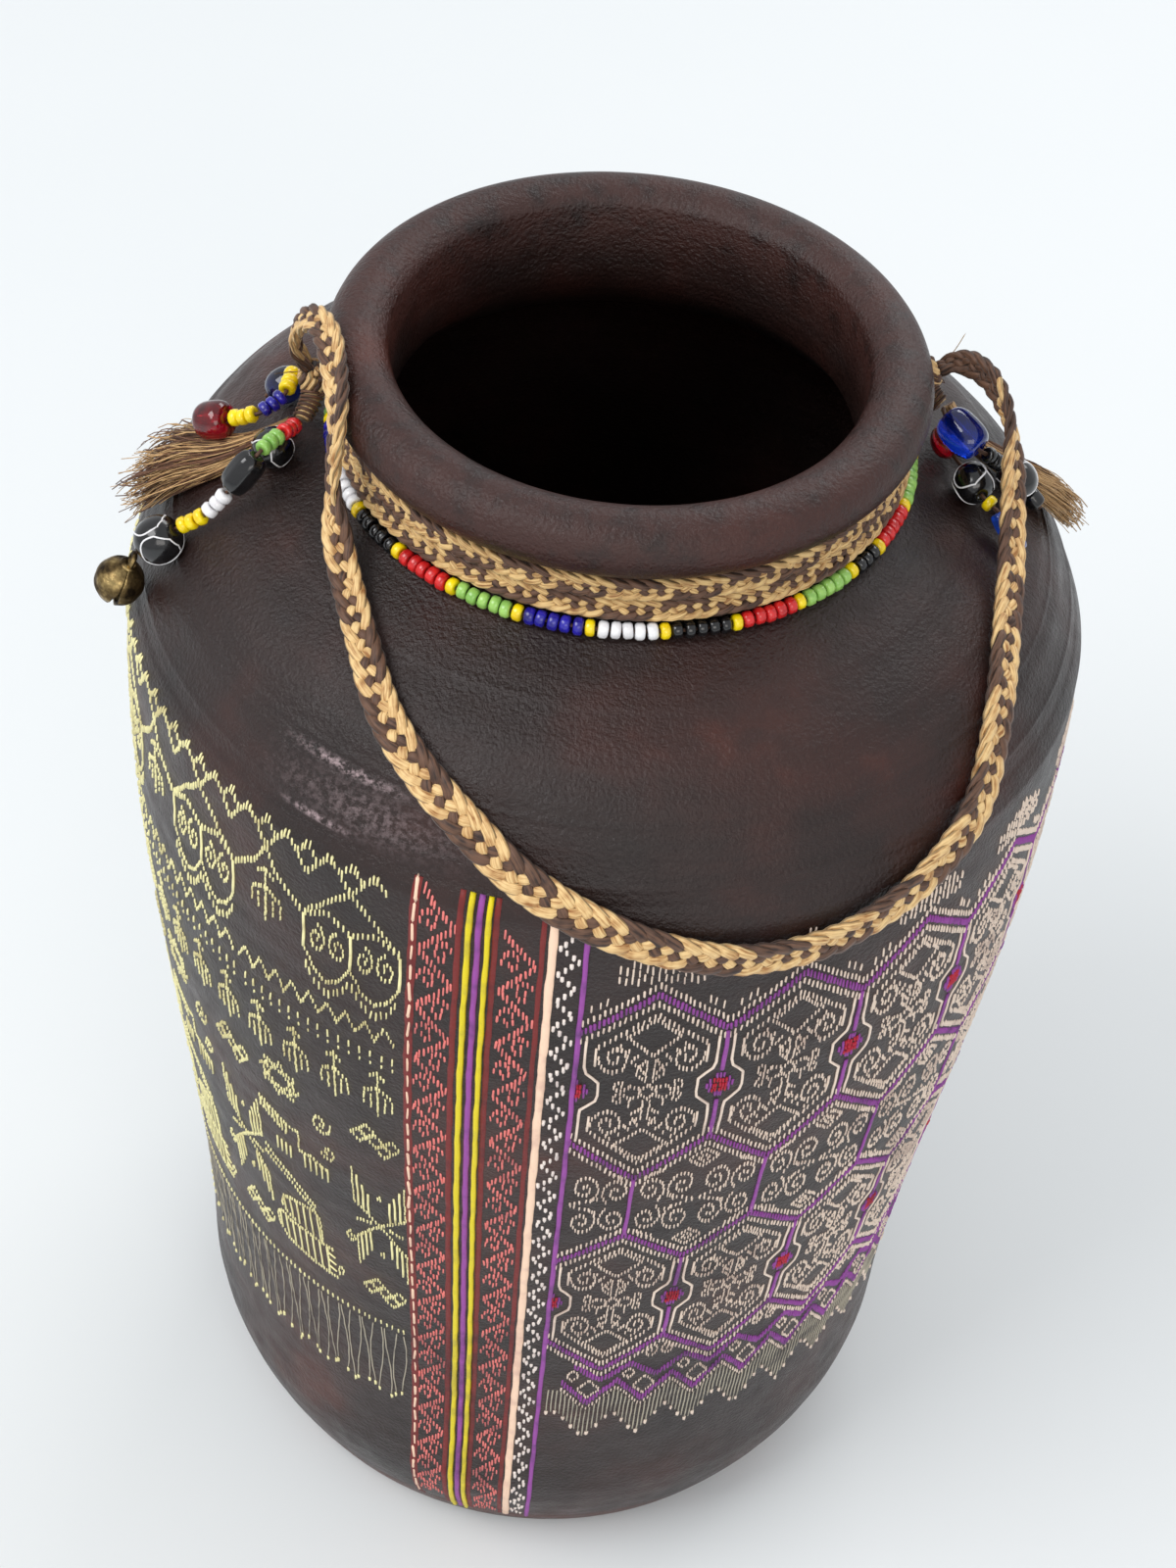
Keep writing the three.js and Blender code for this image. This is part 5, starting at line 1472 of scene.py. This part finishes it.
number, spacers = 0, []
for index, (shade, many) in enumerate(bead_runs):
    spacer = -43.9 + BEAD_STEP * number
    spacers.append(spacer)
    middles = spacer + BEAD_STEP * np.arange(1, many + 1)
    shell = seeds_along(ring_place(middles - BEAD_STEP * 0.47), ring_place(middles + BEAD_STEP * 0.47))
    put(f"neck beads {index + 1} {shade}", shell, seed_glass[shade], "jar",
        f"neck_beads_{index + 1:02d}_{shade}")
    number += many + 1
spacers = np.array(spacers)
shell = seeds_along(ring_place(spacers - BEAD_STEP * 0.44), ring_place(spacers + BEAD_STEP * 0.44), 3.9)
put("yellow spacer beads", shell, seed_glass["yellow"], "jar")
string = ring_place(np.linspace(0, 360, 240, endpoint=False))
string_grid = closed_tube(string, unit(string * (1, 1, 0)), (0, 0, 1), 0.9, 6)[:, ::-1]
shell = skin(string_grid, loop=True, lengths=np.arange(len(string)))
put("neck bead string", shell, brown_thread, "jar", "neck_bead_thread")
print("seed beads round the neck:", number)

# %% [markdown]
# Each hung strand is a list of beads with the two ends of its hole, in the same places as the solid model's.
# The thread is one thin tube through all of them. Seed beads repeat the one bead; the larger beads each have
# their own outline: round, barrel, tube, or ground flat in facets.

# %% Large beads
def large_bead(start, end, diameter, shape="round", sides=40, facets=0):
    """A bead turned about its hole. shape sets how square its outline is; facets flattens its sides."""
    start, end = np.asarray(start, float), np.asarray(end, float)
    length = np.linalg.norm(end - start)
    squareness = {"round": 2.1, "barrel": 3.0, "tube": 5.0}[shape]
    flutes = None
    if facets:
        part = math.pi / facets
        flutes = lambda a: 0.95 / np.maximum(np.cos((a + part) % (2 * part) - part), 0.86)
    one = turned_bead(ring_profile(diameter, length, 1.7, 17, squareness), sides, flutes)
    placed = standing(((start + end) / 2)[None], (end - start)[None])
    return copies(one, placed), placed[0]


def trails(placed, length, diameter, seed):
    """Thin glass threads trailed over a bead: curved triangles, each side bowed, laid on its round face."""
    rng = np.random.default_rng(seed)
    shells = []
    for k in range(3):
        first = k * 2 * math.pi / 3 + rng.uniform(-0.2, 0.2)
        corners = np.array([(first - 0.85, -0.62), (first + 0.95, -0.38), (first + 0.1, 0.72),
                            (first - 0.85, -0.62)])
        path = []
        for (a0, h0), (a1, h1) in zip(corners[:-1], corners[1:]):
            share = np.linspace(0, 1, 14, endpoint=False)
            bow = 0.34 * np.sin(np.pi * share)
            path.append(np.stack([a0 + (a1 - a0) * share + bow * (h1 - h0),
                                  h0 + (h1 - h0) * share - bow * (a1 - a0) * 0.6], -1))
        flat = np.concatenate(path + [corners[:1] + 0.02])
        turn, share = flat[:, 0], np.clip(flat[:, 1], -0.8, 0.8)
        reach = 0.85 + (diameter - 1.7) / 2 * np.sqrt(1 - share ** 2) + 0.02
        local = np.stack([reach * np.cos(turn), reach * np.sin(turn), share * length / 2], -1)
        world = local @ placed[:3, :3].T + placed[:3, 3]
        away = unit(world - placed[:3, 3])
        shells.append(carried(world, away, oval(0.44, 0.4, 6)))
    return shells


def hung_strand(name, body, points, runs, thread_node):
    """The thread through the given places, and its runs of seed beads as (shade, node, start, end, how many)."""
    path = spline(np.array(points), 8)
    shell = carried(path, (0.3, 0.2, 1.0), oval(0.95, 0.95, 8))
    put(name + " thread", shell, brown_thread, body, thread_node)
    for shade, cad, start, end, many in runs:
        share = np.linspace(0, 1, many + 1)[:, None]
        places = np.array(start) + (np.array(end) - np.array(start)) * share
        shell = seeds_along(places[:-1], places[1:], 3.95)
        put(cad.replace("_", " "), shell, seed_glass[shade], body, cad)


def glass_bead(name, cad, body, start, end, diameter, finish, shape="round", facets=0,
               trail=None, thread=()):
    """A large bead with its hole from start to end, and what lies on it or runs through it."""
    shell, placed = large_bead(start, end, diameter, shape, facets=facets)
    trailed = trails(placed, np.linalg.norm(np.subtract(end, start)), diameter, trail) if trail else []
    counts = [sum(len(f) for part in parts for f in part[1]) for parts in ([shell], trailed, thread)]
    put(name, joined([shell, *trailed, *thread]), [finish, seed_glass["white"], brown_thread], body, cad,
        shades=np.repeat([0, 1, 2], counts))


print("a trailed bead has three curved triangles of white thread")

# %% [markdown]
# The left cluster: a long strand that lifts off the shoulder and ends in the bell, a short one that ends in
# clear red glass, a dark blue bead by the knot and a black bead with white trails under the long strand.

# %% The left cluster
LONG, SHORT = "left_long_strand", "left_glass_strand"
hung_strand("left long", LONG, [
    (-71.92, -9.85, 327.8), (-72.17, -10.53, 328.08), (-74.46, -16.75, 330.55), (-76.4, -20.6, 331.0),
    (-78.01, -23.51, 330.64), (-78.87, -24.53, 329.95), (-84.57, -27.06, 321.79), (-85.18, -27.31, 320.85),
    (-89.51, -28.54, 315.44), (-95.8, -28.77, 310.81), (-96.4, -28.83, 310.36), (-104.5, -29.88, 303.69),
    (-105.2, -29.97, 303.1),
], [
    ("red", "left_red_seeds", (-72.17, -10.53, 328.08), (-74.46, -16.75, 330.55), 3),
    ("green", "left_green_seeds", (-74.75, -17.41, 330.73), (-78.01, -23.51, 330.64), 3),
    ("white", "left_white_seeds", (-85.18, -27.31, 320.85), (-89.51, -28.54, 315.44), 3),
    ("yellow", "left_yellow_seeds", (-90.07, -28.59, 314.95), (-95.8, -28.77, 310.81), 3),
], "left_long_thread")
glass_bead("black barrel bead", "black_barrel_bead", LONG, (-78.87, -24.53, 329.95),
           (-84.57, -27.06, 321.79), 7.4, seed_glass["black"], "barrel", facets=8)
glass_bead("trailed bead", "trail_bead", LONG, (-96.4, -28.83, 310.36), (-104.5, -29.88, 303.69),
           11, seed_glass["black"], trail=3)
hung_strand("left glass", SHORT, [
    (-75.16, 6.58, 330.11), (-75.2, 5.8, 330.11), (-75.64, -1.26, 330.05), (-75.99, -2.72, 329.88),
    (-80.6, -6.83, 327.58), (-81.77, -6.97, 327), (-87.81, -5.32, 323.77), (-88.11, -5.22, 323.61),
    (-95.19, -2.38, 319.67), (-96.2, -2.0, 319.1),
], [
    ("yellow", "left_upper_seeds", (-75.2, 5.8, 330.11), (-75.64, -1.26, 330.05), 3),
    ("blue", "left_blue_seeds", (-75.99, -2.72, 329.88), (-80.6, -6.83, 327.58), 3),
    ("yellow", "left_lower_seeds", (-81.77, -6.97, 327), (-87.81, -5.32, 323.77), 3),
], "left_glass_thread")
glass_bead("red glass bead", "red_glass_bead", SHORT, (-88.11, -5.22, 323.61),
           (-95.19, -2.38, 319.67), 9, red_glass, "barrel")


def bound_ends(places, lead, length):
    """Ends of a bead that is tied straight onto the jar's thread, and the thread's own path."""
    route = spline([onto_face(*p) for p in places], 60)
    start, end = at(route, np.array([lead, lead + length]))
    tail = end + unit(end - start) * 1.2
    return start, end, [tube(spline([route[0], start, end, tail], 8), 1.3, 8)]


start, end, thread = bound_ends([(-97.2, 11.6, 6.6), (-96.4, 16, 4.3), (-94.6, 24, 3.9)], 1.2, 9.0)
glass_bead("dark blue bead", "dark_blue_glass_bead", "dark_blue_bead", start, end, 8.4,
           dark_blue_glass, thread=thread)
start, end, thread = bound_ends([(-83.8, 12.6, 4), (-81.8, 14, 4.6), (-79.8, 17.6, 5.2), (-77.2, 22.2, 5.0),
                                 (-75.8, 26, 4.9)], 2.6, 9.0)
glass_bead("left trailed bead", "left_swirl_bead", "jar", start, end, 9.2, seed_glass["black"],
           trail=5, thread=thread)

# %% [markdown]
# The right cluster hangs by the other knot: cobalt glass before deep red glass, black seeds, two more
# trailed beads, and a slim blue tube.

# %% The right cluster
RIGHT = "right_blue_strand"
hung_strand("right blue", RIGHT, [
    (71.56, 10.57, 333.71), (72.01, 7.32, 334.17), (79.95, 0.4, 330.94), (81.57, 0.65, 329.86),
    (86.51, 2.66, 325.26), (87.28, 2.86, 324.43), (92.98, 4.19, 317.62), (93.62, 4.13, 316.93),
    (96.11, 3.31, 314.47), (96.8, 3.1, 313.8),
], [("black", "right_black_seeds", (81.57, 0.65, 329.86), (86.51, 2.66, 325.26), 3)], "right_blue_thread")
glass_bead("cobalt glass bead", "blue_glass_bead", RIGHT, (72.01, 7.32, 334.17),
           (79.95, 0.4, 330.94), 9.2, blue_glass, "barrel")
glass_bead("right outer trailed bead", "right_outer_swirl_bead", RIGHT, (87.28, 2.86, 324.43),
           (92.98, 4.19, 317.62), 9.2, seed_glass["black"], trail=7)
glass_bead("small black bead", "small_black_bead", RIGHT, (93.62, 4.13, 316.93),
           (96.11, 3.31, 314.47), 4.4, seed_glass["black"], "tube")
red_start = onto_face(100.4, 10.8, 7)
hung_strand("right red", "jar", [
    red_start, (72.21, 12.47, 327.45), (75.43, 6.36, 323.83), (77.94, 2.64, 323.16), (81.84, -5.43, 322.62),
    (82.54, -6.28, 322.36), (84.33, -7.58, 321.58), (85.69, -8.33, 320.8), (91.29, -13.87, 314.76),
    (92.0, -14.6, 314.0),
], [("yellow", "right_yellow_seed", (82.54, -6.28, 322.36), (84.33, -7.58, 321.58), 1)], "right_red_thread")
glass_bead("small red glass bead", "small_red_glass_bead", "jar", (72.21, 12.47, 327.45),
           (75.43, 6.36, 323.83), 8, red_glass)
glass_bead("right inner trailed bead", "right_inner_swirl_bead", "jar", (77.94, 2.64, 323.16),
           (81.84, -5.43, 322.62), 9.2, seed_glass["black"], trail=9)
glass_bead("long blue bead", "long_blue_glass_bead", "jar", (85.69, -8.33, 320.8),
           (91.29, -13.87, 314.76), 4.6, azure_glass, "tube", facets=6)

# %% [markdown]
# The bell is a small cast brass one: a round body with a slit mouth and coiled ridges, and a loop above.
# The body is a double wall, so the slit shows its thickness, and a pellet lies loose inside.

# %% The bell
bell_centre = np.array([-109.5484, -30.5129, 294.6001])
bell_way = unit(np.array([-0.436856, -0.053895, -0.897916]))
BELL, BELL_WALL, SLIT = 11.5, 0.9, 1.8
LOOP_REACH, LOOP_WIRE, LOOP_UP, PELLET_REACH = 1.55, 1.3, BELL / 2 + 1.2, 1.6
bell_frame = standing(bell_centre[None], -bell_way[None])[0]


def bell_half(sign):
    """Half of the slit shell: latitude from the crown down to the slit's end on both faces of the wall."""
    rows, columns = 30, 40
    polar_angle = np.linspace(0.02, math.pi - 0.02, rows)[:, None]
    reach = BELL / 2
    half_gap = SLIT / 2 * np.clip((polar_angle - 1.35) / 0.5, 0.02, 1.0)
    sweep = np.linspace(0, 1, columns)[None, :]
    limit = np.arcsin(np.clip(half_gap / (reach * np.sin(polar_angle)), 0, 1))
    turn = limit + (math.pi - 2 * limit) * sweep
    ridge = 0.16 * np.abs(np.sin(polar_angle * 5.5 + 0.15 * np.sin(turn * 2))) * (np.sin(polar_angle) > 0.25)

    def face(r):
        """One side of the wall, r from the bell's middle."""
        return np.stack([r * np.sin(polar_angle) * np.cos(turn), sign * r * np.sin(polar_angle) * np.sin(turn),
                         r * np.cos(polar_angle) * np.ones_like(turn)], -1)

    outer_wall, inner_wall = face(reach - 0.16 + ridge), face(reach - BELL_WALL + 0 * ridge)
    ring = np.concatenate([outer_wall, inner_wall[:, ::-1]], 1)
    return ring if sign < 0 else ring[:, ::-1]


def placed_in(frame_matrix, shell):
    """A shell moved from its own frame into the jar's."""
    points, faces, textures = shell
    return points @ frame_matrix[:3, :3].T + frame_matrix[:3, 3], faces, textures


halves = []
for sign in (1, -1):
    ring = bell_half(sign)
    halves.append(placed_in(bell_frame, skin(ring, ring[0].mean(0), ring[-1].mean(0),
                                             lengths=np.arange(len(ring)))))
turn = np.linspace(0, 2 * np.pi, 33)[:-1]
loop_path = np.stack([LOOP_REACH * np.cos(turn), 0 * turn, LOOP_UP + LOOP_REACH * np.sin(turn)], -1)
loop_grid = closed_tube(loop_path, unit(loop_path - (0, 0, LOOP_UP)), (0, 1, 0), LOOP_WIRE, 10)
halves.append(placed_in(bell_frame, skin(loop_grid, loop=True, lengths=np.arange(len(turn)))))
collar = turned_bead([(0.6, 4.9), (2.1, 4.9), (2.3, 5.3), (1.9, 5.8), (0.6, 5.9)], 20)
halves.append(placed_in(bell_frame, collar))
put("brass bell", joined(halves), brass, "bell", "bell_shell")
pellet_at = bell_centre + bell_way * (BELL / 2 - BELL_WALL - PELLET_REACH - 0.3)
angle = np.linspace(0.15, math.pi - 0.15, 9)[:, None]
ball = PELLET_REACH * np.stack([np.sin(angle) * np.cos(turn), np.sin(angle) * np.sin(turn),
                                -np.cos(angle) * np.ones_like(turn)[None]], -1)
points, faces, textures = skin(ball, (0, 0, -PELLET_REACH), (0, 0, PELLET_REACH))
put("bell pellet", (points + pellet_at, faces, textures), brass, "pellet", "bell_pellet")

# %% [markdown]
# The tassels are the raffia's own ends, beaten soft. Hundreds of fine fibres leave each knot together and
# part as they go, crimped and curling at their tips. Hair would not survive the export, so each fibre is a
# thin four-sided tube, and all are worked out at once: a fibre's place across the bundle grows with a
# smooth flare, and its waves grow towards the tip.

# %% The tassels
def tassel(name, cad, route, width, thick, root, many, finish, seed, frizz=1.0, steps=15):
    """Fibres inside a flaring bundle: share of the way t, across = disc place x half width x smoothstep(t)."""
    rng = np.random.default_rng(seed)
    middle = spline([onto_face(*p) for p in route], 30)
    d = distances(middle)
    t = np.linspace(0, 1, steps)
    centre = at(middle, t * d[-1])
    heading = headings(centre)
    out = unit(unit(centre * (1, 1, 0)) * 0.55 + (0, 0, 0.83))
    side = unit(np.cross(heading, out))
    up = np.cross(side, heading)
    angle, reach = rng.uniform(0, 2 * np.pi, many), np.sqrt(rng.uniform(0, 1, many)) * 0.96
    flare = t * t * (3 - 2 * t)
    half_width = (root + (width - root) * flare) / 2
    half_high = (root * 0.7 + (thick - root * 0.7) * flare) / 2
    length = rng.uniform(0.6, 1.0, many)[:, None]
    along = t[None] * length
    centre_at, side_at, up_at = (read_off(t, values, along) for values in (centre, side, up))
    wild = np.clip(along - 0.12, 0, 1) ** 1.2 * frizz
    phase, rate = rng.uniform(0, 6.3, (many, 1)), rng.uniform(7, 15, (many, 1))
    crimp = wild * np.sin(along * rate + phase) * rng.uniform(0.3, 1.0, (many, 1))
    across = (np.cos(angle) * reach)[:, None] * np.interp(along, t, half_width) + crimp
    high = (np.sin(angle) * reach)[:, None] * np.interp(along, t, half_high)
    high = high + wild * 0.7 * np.cos(along * rate * 0.9 + phase * 2)
    across, high = across + wild * rng.normal(0, 0.9, (many, 1)), high + wild * rng.normal(0, 0.8, (many, 1))
    high = np.maximum(high, -1.8 - 0.1 * np.sin(phase))
    lines = centre_at + side_at * across[..., None] + up_at * high[..., None]
    way = unit(np.gradient(lines, axis=1))
    flat_side = unit(np.cross(way, up_at + 0.01))
    other = np.cross(way, flat_side)
    thin = rng.uniform(0.16, 0.34, (many, 1)) * np.linspace(1.15, 0.55, steps)
    ring = np.stack([lines + flat_side * thin[..., None], lines + other * thin[..., None] * 0.7,
                     lines - flat_side * thin[..., None], lines - other * thin[..., None] * 0.7], 2)
    points = ring.reshape(-1, 3)
    first = np.arange(many)[:, None] * steps * 4
    i, j = np.arange(steps - 1)[:, None] * 4, np.arange(4)
    here, over = i + j, i + (j + 1) % 4
    sides = np.stack([here, over, over + 4, here + 4], -1).reshape(-1, 4)
    quads = (first[:, None] + sides).reshape(-1, 4)
    caps = np.concatenate([first + [[3, 2, 1, 0]], first + (steps - 1) * 4 + [[0, 1, 2, 3]]])
    run_mm = np.broadcast_to(np.linspace(0, d[-1], steps), (many, steps))
    run_along = run_mm[..., None] + (phase * 9)[..., None]
    uv = np.stack(np.broadcast_arrays(np.arange(4) / 4.0, run_along), -1).reshape(-1, 2)
    put(name, (points, [quads, caps], [uv[quads], uv[caps]]), finish, "jar", cad)


left_route = [(-86.8, 13.8, 2.6), (-85.8, 20.4, 2), (-84.6, 28.5, 2.4), (-87.2, 40, 3), (-90.6, 55, 4.6)]
right_route = [(104.6, 13.4, 8), (101.4, 19, 4.6), (98.4, 30, 3.8), (98.6, 42, 4), (101, 56, 4.4)]
tassel("left tassel", "left_tassel", left_route, 24, 10, 4.4, 760, tassel_tan, 21, 2.2)
tassel("left brown fibres", (), left_route, 26, 11, 4.2, 420, tassel_brown, 22, 2.6)
tassel("right tassel", "right_tassel", right_route, 12, 8, 4.6, 700, tassel_tan, 23, 1.2)
tassel("right brown fibres", (), right_route[:4], 11, 7, 4.4, 260, tassel_brown, 24, 1.0)

# %% [markdown]
# The picture was taken on a near white surface in broad soft light. The floor is a plain flat sheet, far wider
# than the picture. A large lamp stands high on the left, a weaker one in front and a narrow one behind, and a
# pale sky fills in.

# %% Floor and light
pale, tree, shader = material("pale floor", Roughness=0.85, Specular_IOR_Level=0.2)
spread = use(tree, grain, Place=node(tree, "TexCoord").outputs["Object"], Fine=60.0, Coarse=1.5)
feed(tree, shader, Base_Color=ramp(tree, spread.outputs["Mottle"], (0.3, colour(228, 232, 233)),
                                   (0.7, colour(232, 235, 236))))
floor_mesh = bpy.data.meshes.new("floor")
floor_mesh.from_pydata([(-4, -4, -0.0004), (4, -4, -0.0004), (4, 4, -0.0004), (-4, 4, -0.0004)], [],
                       [(0, 1, 2, 3)])
floor_mesh.materials.append(pale)
floor = bpy.data.objects.new("floor", floor_mesh)
bpy.context.scene.collection.objects.link(floor)

world = bpy.data.worlds.new("soft sky")
world.use_nodes = True
world.node_tree.nodes["Background"].inputs["Color"].default_value = colour(242, 244, 247)
world.node_tree.nodes["Background"].inputs["Strength"].default_value = 0.8
bpy.context.scene.world = world


def lamp(name, place, aim, size, power, tint=(255, 255, 255)):
    """A rectangular lamp at a place, turned to its aim."""
    data = bpy.data.lights.new(name, "AREA")
    data.shape, data.size, data.size_y, data.energy = "RECTANGLE", size[0], size[1], power
    data.color = colour(*tint)[:3]
    made = bpy.data.objects.new(name, data)
    turned_to = (Vector(aim) - Vector(place)).to_track_quat("-Z", "Y")
    made.matrix_world = Matrix.Translation(place) @ turned_to.to_matrix().to_4x4()
    bpy.context.scene.collection.objects.link(made)


lamp("window", (-0.9, -0.5, 1.5), (0, 0, 0.25), (1.0, 0.8), 13)
lamp("front softbox", (0.35, -1.5, 1.0), (0, 0, 0.2), (1.2, 0.7), 6, (255, 250, 244))
lamp("rear strip", (0.6, 1.1, 1.3), (0, 0, 0.3), (1.2, 0.5), 7)
bpy.context.scene.view_settings.view_transform = "Standard"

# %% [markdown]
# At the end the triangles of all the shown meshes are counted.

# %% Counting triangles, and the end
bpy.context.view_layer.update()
shown = [o.data.polygons for o in bpy.data.objects if o.type == "MESH" and not o.hide_render]
print("triangles in all:", sum(len(p.vertices) - 2 for polygons in shown for p in polygons))
